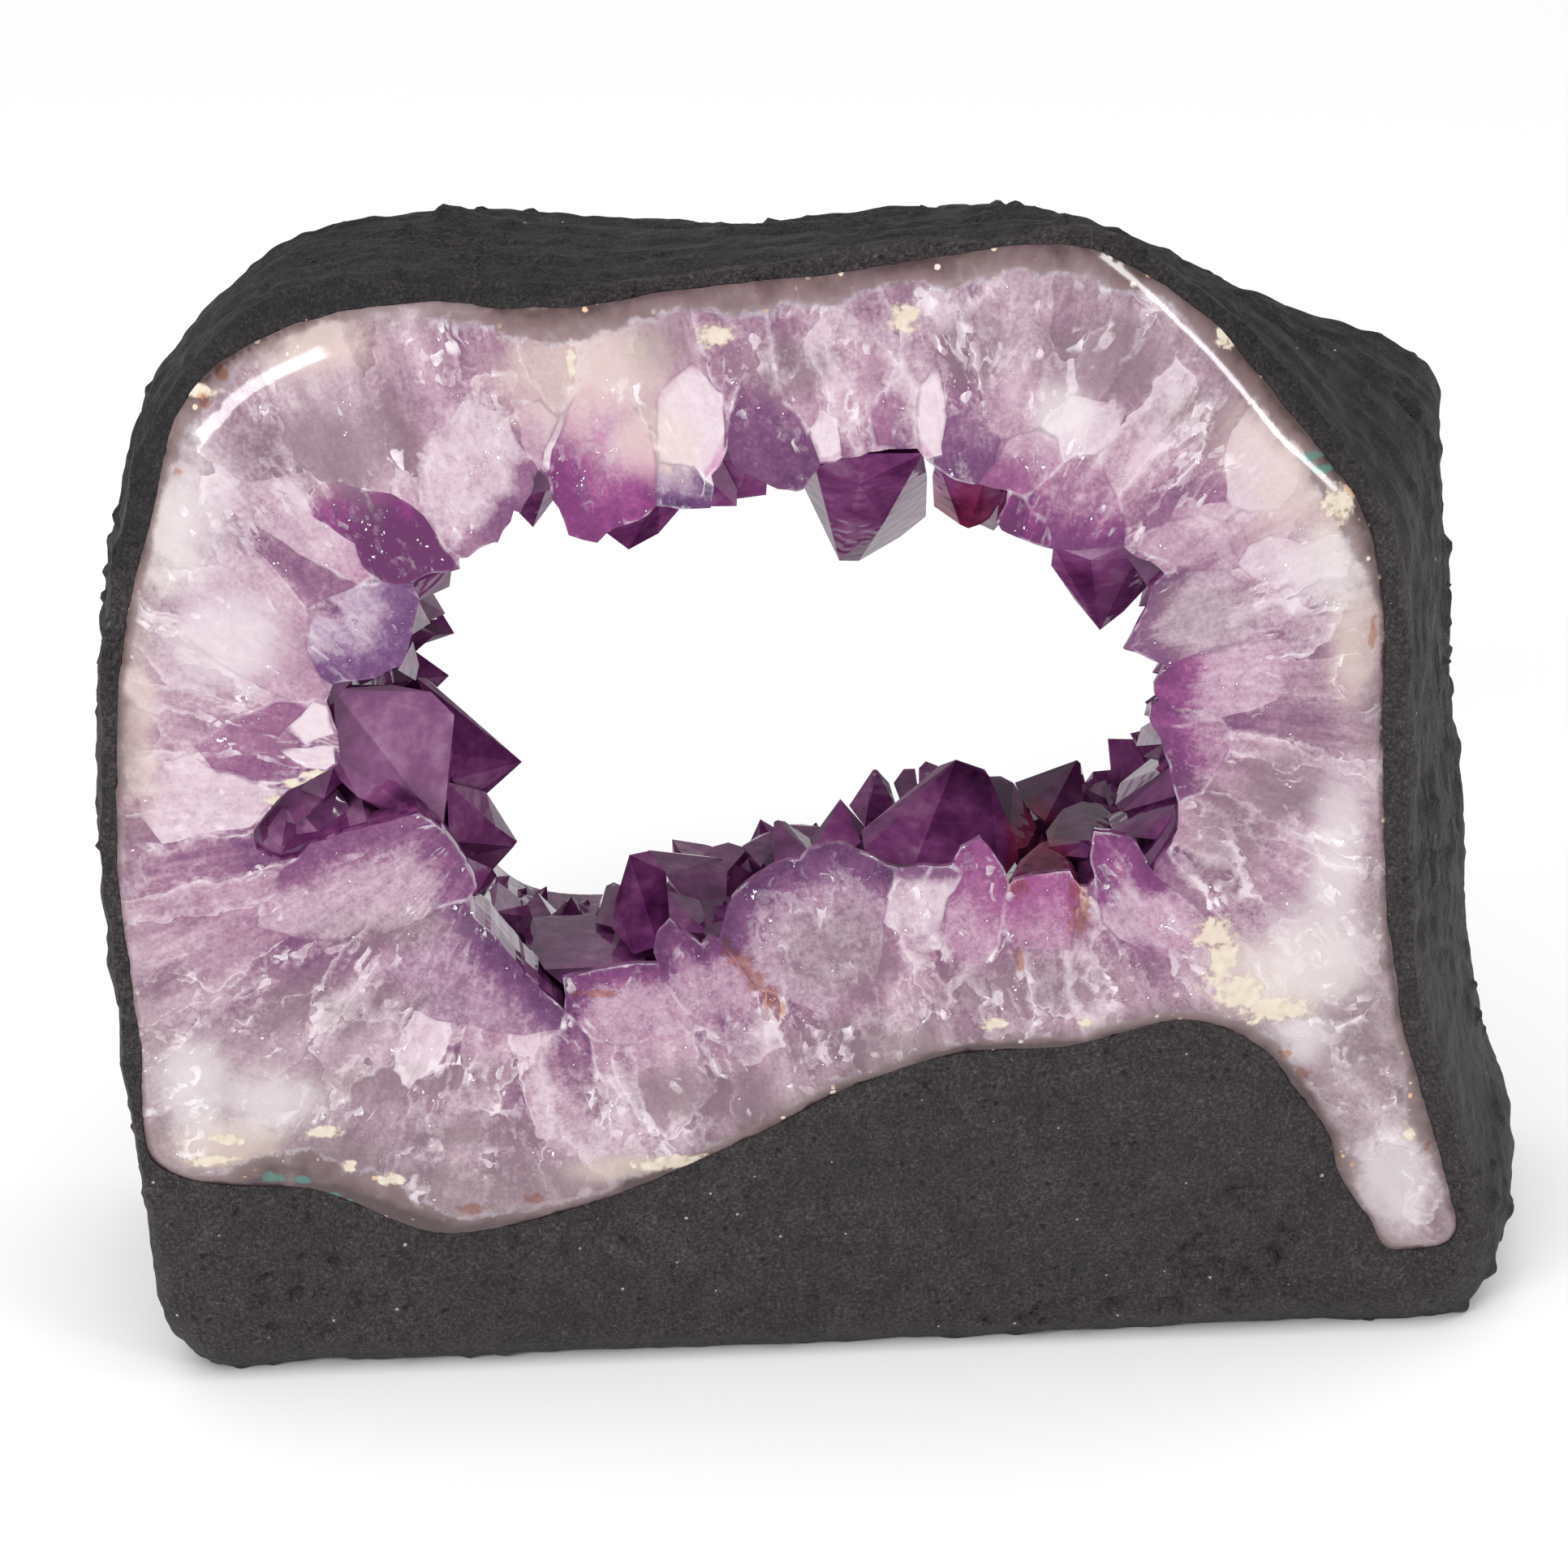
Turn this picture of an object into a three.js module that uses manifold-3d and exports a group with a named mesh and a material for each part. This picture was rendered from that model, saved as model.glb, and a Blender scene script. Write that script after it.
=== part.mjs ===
// A slice of an amethyst geode, open right through, standing in a cast cement casing.
// Millimetres. +Z is up, the front cut face looks along -Y, and the origin is under the middle.
import * as THREE from 'three';
import { mergeVertices } from 'three/addons/utils/BufferGeometryUtils.js';
import Module from 'manifold-3d';

const wasm = await Module();
wasm.setup();

// ---- driving dimensions -------------------------------------------------------------------

const SLICE_DEPTH = 100; // from the front saw cut to the back one
const FRONT = -SLICE_DEPTH / 2;
const BACK = SLICE_DEPTH / 2;
const SEAT_GAP = 0.4; // between the rind of the stone and the cement round it
const OVERRUN = 10; // how far the hole and the seat are cut past both faces
const DEPTHS = [FRONT, FRONT / 2, 0, BACK / 2, BACK]; // where the stone's outline is set out
const THROUGH_DEPTHS = [FRONT - OVERRUN, ...DEPTHS, BACK + OVERRUN];
const BEYOND = 400; // past everything

const CASING_STATIONS = 88; // round the outside of the casing
const STONE_STATIONS = 74; // round the rind of the stone
const CAVITY_STATIONS = 44; // round the hole, under its crystals
const WALL_STATIONS = 400; // places round the hole where a lining crystal can stand

const POINT_HEIGHT = 1.15; // height of a crystal's point over its radius
const SMALL_FACE = 0.9; // three of the six sides sit closer to the axis
const LEAST_PRISM = 0.2; // least share of a crystal's length that stays below its point

// ---- outlines -------------------------------------------------------------------------------
// Each row is one place on the outline, going clockwise from the bottom left as seen from the
// front: x and z on the front face, then x and z of the same place on the back face.

// The casing has two more numbers: how far it swells half way back, and the radius that its
// front and back edges are rounded to. Its underside is bowed down a little past the ground
// here, and is cut flat at the end.
const CASING_OUTLINE = [
  [-170, 0, -169, 0, 1, 14],
  [-179, 14, -178, 14, 1, 8],
  [-181, 57, -181, 57, 1, 3],
  [-183, 108, -183, 108, 1.5, 3],
  [-182.6, 150, -182.6, 150, 2, 3],
  [-180, 190, -181, 186, 2, 3],
  [-172, 228, -175, 218, 2, 3],
  [-160, 260, -168, 241, 2, 3],
  [-145, 277, -152, 259, 2, 3],
  [-125, 286, -131, 272, 2, 3],
  [-96, 287, -98, 277, 2, 3],
  [-60, 287, -62, 275, 2, 3],
  [-20, 292, -22, 272, 2, 3],
  [15, 296, 12, 274, 2, 3],
  [42, 298, 42, 273, 2, 3],
  [62, 289, 72, 265, 2, 3],
  [84, 271, 100, 253, 2, 3],
  [102, 249, 126, 244, 2, 3],
  [112, 236, 141, 238, 2, 4],
  [119, 224, 153, 230, 2, 4],
  [125, 200, 156, 210, 2, 3],
  [127, 170, 161, 175, 2.5, 3],
  [131, 135, 167, 135, 2.5, 3],
  [137, 100, 173, 100, 3, 3],
  [145, 74, 176, 75, 2, 4],
  [154, 51, 180, 51, 4, 5],
  [160, 34, 183, 33, 8, 8],
  [161, 18, 184, 18, 8, 10],
  [155, 1, 179, 1, 5, 14],
  [110, -1, 120, -1, 1, 13],
  [30, -1.6, 30, -1.6, 1, 13],
  [-60, -1.6, -60, -1.6, 1, 13],
  [-135, -1, -135, -1, 1, 14],
];
const SWELL = 4; // where the last two numbers stand in a row
const EDGE_RADIUS = 5;
const EDGE_STEPS = [0, 1, 4, 12, 30, 50]; // distances from a face where the outline is set out

const STONE_OUTLINE = [
  [-170, 61, -166, 60],
  [-178, 68, -176, 66],
  [-178, 100, -177, 100],
  [-179, 145, -177, 145],
  [-177, 172, -176, 170],
  [-173, 203, -173, 200],
  [-165, 232, -165, 226],
  [-152, 266, -150, 248],
  [-134, 278, -128, 260],
  [-104, 284, -98, 268],
  [-73, 282, -68, 269],
  [-46, 286, -44, 268],
  [-5, 290, -5, 268],
  [37, 295, 36, 267],
  [52, 291, 58, 262],
  [70, 279, 84, 252],
  [94, 252, 112, 238],
  [111, 230, 134, 224],
  [118, 205, 145, 205],
  [120, 175, 151, 175],
  [125, 131, 157, 131],
  [131, 98, 160, 100],
  [141, 67, 163, 70],
  [151, 38, 164, 46],
  [148, 24, 155, 34],
  [135, 25, 142, 34],
  [121, 48, 127, 48],
  [109, 70, 114, 68],
  [98, 88, 102, 80],
  [78, 96, 80, 84],
  [50, 90, 50, 84],
  [22, 89, 22, 83],
  [-4, 81, -2, 77],
  [-30, 67, -30, 66],
  [-68, 50, -68, 54],
  [-108, 42, -108, 46],
  [-138, 56, -136, 54],
];

// The hole, measured at the roots of the crystals that line it.
const CAVITY_OUTLINE = [
  [-134, 176, -112, 170],
  [-118, 200, -110, 200],
  [-112, 218, -92, 219],
  [-92, 234, -66, 228],
  [-68, 242, -38, 231],
  [-38, 246, -4, 233],
  [-4, 250, 32, 228],
  [28, 244, 60, 216],
  [50, 228, 80, 196],
  [66, 206, 92, 176],
  [74, 182, 96, 150],
  [74, 160, 90, 126],
  [60, 138, 64, 108],
  [36, 132, 28, 100],
  [4, 131, -6, 95],
  [-26, 124, -34, 90],
  [-54, 108, -60, 84],
  [-78, 104, -86, 88],
  [-98, 128, -102, 108],
  [-118, 156, -112, 138],
];

// ---- crystals -------------------------------------------------------------------------------
// Tip, root, radius, and turn about the axis in degrees.

const CUT_CRYSTALS = [
  // Points that the front saw cut went through, clockwise from the left.
  [-96, -48, 223, -135, -44, 242, 13, 10],
  [-104, -47, 205, -146, -42, 222, 16, 25],
  [-88, -46, 225, -104, -44, 270, 13, 0],
  [-64, -47, 227, -68, -44, 272, 12, 20],
  [-45, -46, 236, -46, -44, 276, 11, 5],
  [-20, -47, 238, -27, -44, 276, 12, 15],
  [2, -46, 245, 0, -44, 282, 12, 30],
  [20, -47, 240, 18, -44, 280, 11, 12],
  [31, -47, 225, 44, -43, 264, 14, 8],
  [57, -48, 198, 98, -44, 212, 12, 22],
  [64, -48, 186, 100, -44, 190, 11, 3],
  [66, -47, 172, 102, -44, 170, 9, 14],
  [66, -46, 156, 102, -42, 148, 12, 30],
  [53, -47, 150, 84, -44, 110, 13, 18],
  [40, -47, 146, 43, -44, 102, 11, 6],
  [26, -46, 150, 23, -44, 104, 10, 24],
  [10, -46, 144, 9, -44, 100, 10, 0],
  [-12, -46, 152, -9, -43, 98, 22, 12],
  [-38, -47, 126, -32, -44, 84, 8, 20],
  [-49, -47, 131, -46, -44, 84, 9, 10],
  [-65, -44, 122, -58, -42, 74, 15, 28],
  [-75, -47, 106, -122, -43, 122, 15, 5],
  [-96, -45, 143, -146, -43, 134, 19, 16],
];

const INNER_CRYSTALS = [
  // Floor of the hole.
  [26, -5, 147, 29, 6, 102, 20, 20],
  [8, 30, 128, 10, 36, 92, 9, 5],
  [20, 34, 127, 21, 40, 92, 8, 25],
  [-4, 10, 130, -7, 16, 94, 10, 12],
  [-18, 12, 123, -20, 18, 88, 9, 30],
  [-25, 26, 112, -24, 30, 80, 9, 0],
  [-36, 25, 110, -37, 30, 78, 11, 18],
  [-58, -5, 124, -53, 6, 84, 15, 8],
  [-45, 0, 121, -43, 8, 84, 13, 26],
  [-82, 20, 102, -85, 26, 68, 10, 14],
  [-70, 30, 92, -72, 36, 64, 11, 2],
  [-62, 12, 109, -64, 18, 78, 9, 22],
  [37, 10, 136, 43, 16, 100, 12, 10],
  [62, 34, 128, 70, 40, 88, 15, 24],
  [52, -28, 128, 56, -18, 96, 13, 4],
  [-2, -24, 128, -3, -14, 92, 15, 16],
  [-28, -20, 116, -27, -10, 80, 13, 28],
  // Left wall.
  [-84, -15, 156, -132, -22, 182, 19, 12],
  [-86, -5, 129, -118, 2, 148, 13, 6],
  [-91, -25, 130, -116, -22, 122, 9, 20],
  [-88, -20, 122, -110, -14, 108, 10, 0],
  [-105, -30, 200, -126, -27, 206, 7, 15],
  [-100, -38, 214, -120, -35, 224, 8, 28],
  [-107, -35, 190, -128, -32, 193, 8, 9],
  [-116, -34, 172, -140, -30, 168, 15, 22],
  // Roof.
  [-79, -40, 229, -76, -36, 254, 7, 4],
  [-57, -32, 216, -49, -26, 250, 12, 18],
  [-37, -30, 226, -35, -26, 254, 9, 26],
  [-29, -28, 227, -26, -24, 254, 8, 10],
  [-6, -25, 212, 2, -17, 256, 17, 14],
  [20, -25, 216, 18, -19, 250, 11, 2],
  [53, -38, 198, 70, -30, 236, 16, 20],
  // Right wall.
  [67, -20, 160, 92, -18, 162, 8, 8],
  [61, -25, 148, 98, -18, 152, 14, 24],
  [68, 20, 128, 80, 24, 104, 8, 12],
];

// The rest of the lining is laid out in rings, each point turned and sized a little differently.
const LINING_DEPTHS = [-26, -6, 14, 32, 48];
const LINING_AROUND = 20;
const LINING_SUNK = 12; // from the root to the lining of the hole
const LINING_LENGTH = [19, 27]; // from root to tip
const LINING_RADIUS = [8, 12];
const LINING_LEAN = 0.35; // how far the axes stray from square to the wall
const LINING_SHIFT = 0.2; // how far they stray along the ring, in steps of the ring
const LINING_STRAY = 3; // how far they stray in depth

// ---- shape tools ------------------------------------------------------------------------------

// A repeatable number from 0 to 1 for each whole number n.
function scatter(n) {
  const s = Math.sin(n * 12.9898) * 43758.5453;
  return s - Math.floor(s);
}

function between([low, high], share) {
  return low + (high - low) * share;
}

// The front and back outlines as closed curves of x and z.
function outlineCurves(rows) {
  const front = rows.map(([x, z]) => new THREE.Vector3(x, 0, z));
  const back = rows.map(([, , x, z]) => new THREE.Vector3(x, 0, z));
  return {
    front: new THREE.CatmullRomCurve3(front, true, 'centripetal'),
    back: new THREE.CatmullRomCurve3(back, true, 'centripetal'),
  };
}

// The outline at depth y as `count` points, pushed outwards by `proud(place)`, where place
// goes from 0 to 1 round the outline.
function ringAt(curves, y, count, proud) {
  const share = (y - FRONT) / SLICE_DEPTH;
  const at = (i) => {
    const u = (i / count + 1) % 1;
    return curves.front.getPoint(u).lerp(curves.back.getPoint(u), share);
  };
  return Array.from({ length: count }, (_, i) => {
    const here = at(i);
    const along = at(i + 1).sub(at(i - 1)).normalize();
    const outward = new THREE.Vector3(-along.z, 0, along.x);
    return here.addScaledVector(outward, proud(i / count)).setY(y);
  });
}

// A closed solid through rings of equal count, listed from front to back.
function loft(rings) {
  const count = rings[0].length;
  const positions = rings.flat().flatMap((p) => [p.x, p.y, p.z]);
  const index = [];
  for (let k = 0; k + 1 < rings.length; k += 1) {
    for (let i = 0; i < count; i += 1) {
      const a = k * count + i;
      const b = k * count + ((i + 1) % count);
      index.push(a, b, a + count, b, b + count, a + count);
    }
  }
  const flat = (ring) => ring.map((p) => new THREE.Vector2(p.x, p.z));
  const last = (rings.length - 1) * count;
  for (const [a, b, c] of THREE.ShapeUtils.triangulateShape(flat(rings[0]), [])) {
    index.push(a, b, c);
  }
  for (const [a, b, c] of THREE.ShapeUtils.triangulateShape(flat(rings[rings.length - 1]), [])) {
    index.push(last + a, last + c, last + b);
  }
  const geometry = new THREE.BufferGeometry();
  geometry.setAttribute('position', new THREE.Float32BufferAttribute(positions, 3));
  geometry.setIndex(index);
  return geometry;
}

function toSolid(geometry) {
  const bare = geometry.clone();
  bare.deleteAttribute('normal');
  bare.deleteAttribute('uv');
  const merged = mergeVertices(bare);
  const vertProperties = new Float32Array(merged.attributes.position.array);
  const triVerts = new Uint32Array(merged.index.array);
  return new wasm.Manifold(new wasm.Mesh({ numProp: 3, vertProperties, triVerts }));
}

function toGeometry(solid) {
  const mesh = solid.getMesh();
  const geometry = new THREE.BufferGeometry();
  geometry.setAttribute('position', new THREE.BufferAttribute(mesh.vertProperties, 3));
  geometry.setIndex(new THREE.BufferAttribute(mesh.triVerts, 1));
  geometry.computeVertexNormals();
  return geometry;
}

function slab(low, high) {
  const size = new THREE.Vector3().subVectors(high, low);
  const middle = new THREE.Vector3().addVectors(low, high).multiplyScalar(0.5);
  return toSolid(new THREE.BoxGeometry(...size).translate(...middle));
}

// ---- pieces -----------------------------------------------------------------------------------

// How far an edge of radius r has turned in, at a distance e from the cut face.
function roundedInset(r, e) {
  return e >= r ? 0 : r - Math.sqrt(r * r - (r - e) * (r - e));
}

// One of the two last numbers of the casing's rows, at a place from 0 to 1 round the outline.
function casingTrait(column, place) {
  const at = place * CASING_OUTLINE.length;
  const here = CASING_OUTLINE[Math.floor(at) % CASING_OUTLINE.length];
  const next = CASING_OUTLINE[Math.ceil(at) % CASING_OUTLINE.length];
  return THREE.MathUtils.lerp(here[column], next[column], at - Math.floor(at));
}

function casingBlock() {
  const curves = outlineCurves(CASING_OUTLINE);
  const fromFront = EDGE_STEPS.map((step) => FRONT + step);
  const fromBack = EDGE_STEPS.slice(0, -1).reverse().map((step) => BACK - step);
  const rings = [...fromFront, ...fromBack].map((y) => {
    const fromFace = Math.min(y - FRONT, BACK - y);
    const share = (y - FRONT) / SLICE_DEPTH;
    const proud = (place) => {
      const swell = casingTrait(SWELL, place) * 4 * share * (1 - share);
      return swell - roundedInset(casingTrait(EDGE_RADIUS, place), fromFace);
    };
    return ringAt(curves, y, CASING_STATIONS, proud);
  });
  return toSolid(loft(rings));
}

// A block with the given outline, `proud` larger all round, between the given depths.
function block(rows, count, proud, depths) {
  const curves = outlineCurves(rows);
  return toSolid(loft(depths.map((y) => ringAt(curves, y, count, () => proud))));
}

// A six-sided crystal with a pyramid point; its three smaller sides sit closer to the axis.
function crystal(tip, root, radius, turn) {
  const axis = new THREE.Vector3().subVectors(tip, root);
  const length = axis.length();
  const shoulder = Math.max(length - radius * POINT_HEIGHT, length * LEAST_PRISM);
  const corners = Array.from({ length: 6 }, (_, i) => {
    const angle = THREE.MathUtils.degToRad(turn + i * 60);
    const reach = i % 2 ? radius * SMALL_FACE : radius;
    return [reach * Math.cos(angle), reach * Math.sin(angle)];
  });
  const positions = [
    ...corners.flatMap(([x, y]) => [x, y, 0]),
    ...corners.flatMap(([x, y]) => [x, y, shoulder]),
    0, 0, 0,
    0, 0, length,
  ];
  const foot = 12;
  const peak = 13;
  const index = [];
  for (let i = 0; i < 6; i += 1) {
    const j = (i + 1) % 6;
    index.push(foot, j, i, i, j, 6 + i, j, 6 + j, 6 + i, 6 + i, 6 + j, peak);
  }
  const geometry = new THREE.BufferGeometry();
  geometry.setAttribute('position', new THREE.Float32BufferAttribute(positions, 3));
  geometry.setIndex(index);
  const up = new THREE.Vector3(0, 0, 1);
  geometry.applyQuaternion(new THREE.Quaternion().setFromUnitVectors(up, axis.normalize()));
  geometry.translate(root.x, root.y, root.z);
  return toSolid(geometry);
}

function namedCrystals() {
  return [...CUT_CRYSTALS, ...INNER_CRYSTALS].map(([tx, ty, tz, rx, ry, rz, radius, turn]) =>
    crystal(new THREE.Vector3(tx, ty, tz), new THREE.Vector3(rx, ry, rz), radius, turn));
}

// The nth lining crystal, standing in the ring at this depth at a place from 0 to 1 round it.
function liningCrystal(curves, n, depth, place) {
  const count = LINING_DEPTHS.length * LINING_AROUND;
  const draws = Array.from({ length: 7 }, (_, k) => scatter(n + k * count));
  const [shift, stray, leanAlong, leanDeep, long, wide, turn] = draws;
  const ring = ringAt(curves, depth + LINING_STRAY * (stray * 2 - 1), WALL_STATIONS, () => 0);
  const spot = place + LINING_SHIFT * (shift * 2 - 1) / LINING_AROUND;
  const at = Math.round(spot * WALL_STATIONS) + WALL_STATIONS;
  const [before, wall, after] = [at - 4, at, at + 4].map((k) => ring[k % WALL_STATIONS]);
  const along = after.clone().sub(before).normalize();
  const inward = new THREE.Vector3(along.z, 0, -along.x);
  inward.addScaledVector(along, LINING_LEAN * (leanAlong * 2 - 1));
  inward.y = LINING_LEAN * (leanDeep * 2 - 1);
  inward.normalize();
  const root = wall.clone().addScaledVector(inward, -LINING_SUNK);
  const tip = root.clone().addScaledVector(inward, between(LINING_LENGTH, long));
  return crystal(tip, root, between(LINING_RADIUS, wide), 60 * turn);
}

function liningCrystals() {
  const curves = outlineCurves(CAVITY_OUTLINE);
  return LINING_DEPTHS.flatMap((depth, row) =>
    Array.from({ length: LINING_AROUND }, (_, i) => {
      const place = (i + 0.5 * (row % 2)) / LINING_AROUND;
      return liningCrystal(curves, row * LINING_AROUND + i + 1, depth, place);
    }));
}

function amethystDruse() {
  const stone = block(STONE_OUTLINE, STONE_STATIONS, 0, DEPTHS);
  const cavity = block(CAVITY_OUTLINE, CAVITY_STATIONS, 0, THROUGH_DEPTHS);
  const crystals = [...namedCrystals(), ...liningCrystals()].reduce((all, one) => all.add(one));
  return stone.subtract(cavity).add(crystals).intersect(stone);
}

function cementCasing() {
  const low = new THREE.Vector3(-BEYOND, -BEYOND, 0);
  const aboveGround = slab(low, new THREE.Vector3(BEYOND, BEYOND, BEYOND));
  const seat = block(STONE_OUTLINE, STONE_STATIONS, SEAT_GAP, THROUGH_DEPTHS);
  return casingBlock().intersect(aboveGround).subtract(seat);
}

function namedMesh(name, solid, finish) {
  const mesh = new THREE.Mesh(toGeometry(solid), new THREE.MeshStandardMaterial(finish));
  mesh.name = name;
  return mesh;
}

const portal = new THREE.Group();
portal.add(
  namedMesh('amethyst_druse', amethystDruse(), { color: 0x9a78a4, roughness: 0.15, metalness: 0 }),
  namedMesh('cement_casing', cementCasing(), { color: 0x38363a, roughness: 0.85, metalness: 0 }),
);

export default portal;
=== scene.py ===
"""A standing slice of amethyst geode in a cast cement casing: the looks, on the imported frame.

Lengths in the tables and in the shape code are millimetres, as in the part's own source.
"""
import functools
import math
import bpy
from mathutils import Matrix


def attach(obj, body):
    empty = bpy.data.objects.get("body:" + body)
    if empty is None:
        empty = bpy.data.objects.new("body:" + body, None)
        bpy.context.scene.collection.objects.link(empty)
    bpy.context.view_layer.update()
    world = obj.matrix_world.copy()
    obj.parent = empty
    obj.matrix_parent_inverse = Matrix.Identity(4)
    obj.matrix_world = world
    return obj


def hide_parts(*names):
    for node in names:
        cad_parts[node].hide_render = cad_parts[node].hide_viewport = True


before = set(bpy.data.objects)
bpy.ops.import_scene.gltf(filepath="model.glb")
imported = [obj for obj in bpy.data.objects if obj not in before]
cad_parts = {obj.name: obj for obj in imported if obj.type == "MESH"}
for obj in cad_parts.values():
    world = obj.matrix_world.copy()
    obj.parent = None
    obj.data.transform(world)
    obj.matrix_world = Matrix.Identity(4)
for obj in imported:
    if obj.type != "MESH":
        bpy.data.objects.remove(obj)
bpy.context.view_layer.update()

from types import SimpleNamespace

import bmesh
import bpy
import numpy as np
from mathutils import Matrix, Vector
from mathutils.geometry import delaunay_2d_cdt
from mathutils.kdtree import KDTree

MM = 0.001

# ---- sizes ----------------------------------------------------------------------------------

FRONT, BACK = -50.0, 50.0
DEPTH = BACK - FRONT
SEAT_GAP = 0.1  # between the rind of the stone and the cement round it

FACE_GRID = 1.15  # spacing of the points on the sawn front of the stone
BACK_GRID = 3.0
CASING_GRID = 1.4  # the same on the front of the casing

# Casing: front x and z, back x and z, swell half way back, radius of the edges.
CASING_OUTLINE = [
    (-170, 0, -169, 0, 1, 14), (-179, 14, -178, 14, 1, 8), (-181, 57, -181, 57, 1, 3),
    (-183, 108, -183, 108, 1.5, 3), (-182.6, 150, -182.6, 150, 2, 3), (-180, 190, -181, 186, 2, 3),
    (-172, 228, -175, 218, 2, 3), (-160, 260, -168, 241, 2, 3), (-145, 277, -152, 259, 2, 3),
    (-125, 286, -131, 272, 2, 3), (-96, 287, -98, 277, 2, 3), (-60, 287, -62, 275, 2, 3),
    (-20, 292, -22, 272, 2, 3), (15, 296, 12, 274, 2, 3), (42, 298, 42, 273, 2, 3),
    (62, 289, 72, 265, 2, 3), (84, 271, 100, 253, 2, 3), (102, 249, 126, 244, 2, 3),
    (112, 236, 141, 238, 2, 4), (119, 224, 153, 230, 2, 4), (125, 200, 156, 210, 2, 3),
    (127, 170, 161, 175, 2.5, 3), (131, 135, 167, 135, 2.5, 3), (137, 100, 173, 100, 3, 3),
    (145, 74, 176, 75, 2, 4), (154, 51, 180, 51, 4, 5), (160, 34, 183, 33, 8, 8),
    (161, 18, 184, 18, 8, 10), (155, 1, 179, 1, 5, 14), (110, -1, 120, -1, 1, 13),
    (30, -1.6, 30, -1.6, 1, 13), (-60, -1.6, -60, -1.6, 1, 13), (-135, -1, -135, -1, 1, 14),
]

# Stone: front x and z, back x and z, how far its front edge is rounded, width of its agate rim.
STONE_OUTLINE = [
    (-170, 61, -166, 60, 1.5, 3), (-178, 68, -176, 66, 1.5, 2), (-178, 100, -177, 100, 1.5, 1.5),
    (-179, 145, -177, 145, 1.5, 1.5), (-177, 172, -176, 170, 1.5, 2.5), (-173, 203, -173, 200, 2, 2.5),
    (-165, 232, -165, 226, 4, 3), (-152, 266, -150, 248, 8, 5), (-134, 278, -128, 260, 8, 4),
    (-104, 284, -98, 268, 7, 4), (-73, 282, -68, 269, 4, 7.5), (-46, 286, -44, 268, 2, 6),
    (-5, 290, -5, 268, 2, 7.5), (37, 295, 36, 267, 2, 8.5), (52, 291, 58, 262, 3, 8),
    (70, 279, 84, 252, 4.5, 5), (94, 252, 112, 238, 4.5, 4), (111, 230, 134, 224, 3, 7),
    (118, 205, 145, 205, 2, 1.5), (120, 175, 151, 175, 1.5, 1.2), (125, 131, 157, 131, 1.5, 2),
    (131, 98, 160, 100, 1.5, 2.5), (141, 67, 163, 70, 1.5, 5), (150, 39, 164, 46, 1.5, 3),
    (152, 30, 160, 38, 1.5, 2), (149.5, 26, 154, 34, 1.5, 2), (143, 25, 148, 34, 1.5, 2),
    (134.5, 25.5, 141, 35, 1.5, 2), (128.5, 35, 134, 41, 1.5, 2), (119.5, 50, 127, 50, 1.5, 4),
    (116, 61, 121, 59, 1.5, 4), (106, 76, 112, 71, 1.5, 4), (97, 88, 102, 80, 1.5, 4),
    (78, 96, 80, 84, 1.5, 3.5), (50, 90, 50, 84, 1.5, 3.5), (22, 89, 22, 83, 1.5, 4),
    (-4, 81, -2, 77, 1.5, 3.5), (-30, 67, -30, 66, 1.5, 3), (-68, 50, -68, 54, 1.5, 4.5),
    (-108, 42, -108, 46, 1.5, 9), (-138, 56, -136, 54, 1.5, 12),
]

# The hole, at the roots of the crystals that line it.
CAVITY_OUTLINE = [
    (-134, 176, -112, 170), (-118, 200, -110, 200), (-112, 218, -92, 219), (-92, 234, -66, 228),
    (-68, 242, -38, 231), (-38, 246, -4, 233), (-4, 250, 32, 228), (28, 244, 60, 216), (50, 228, 80, 196),
    (66, 206, 92, 176), (74, 182, 96, 150), (74, 160, 90, 126), (60, 138, 64, 108), (36, 132, 28, 100),
    (4, 131, -6, 95), (-26, 124, -34, 90), (-54, 108, -60, 84), (-78, 104, -86, 88),
    (-98, 128, -102, 108), (-118, 156, -112, 138),
]

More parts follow.
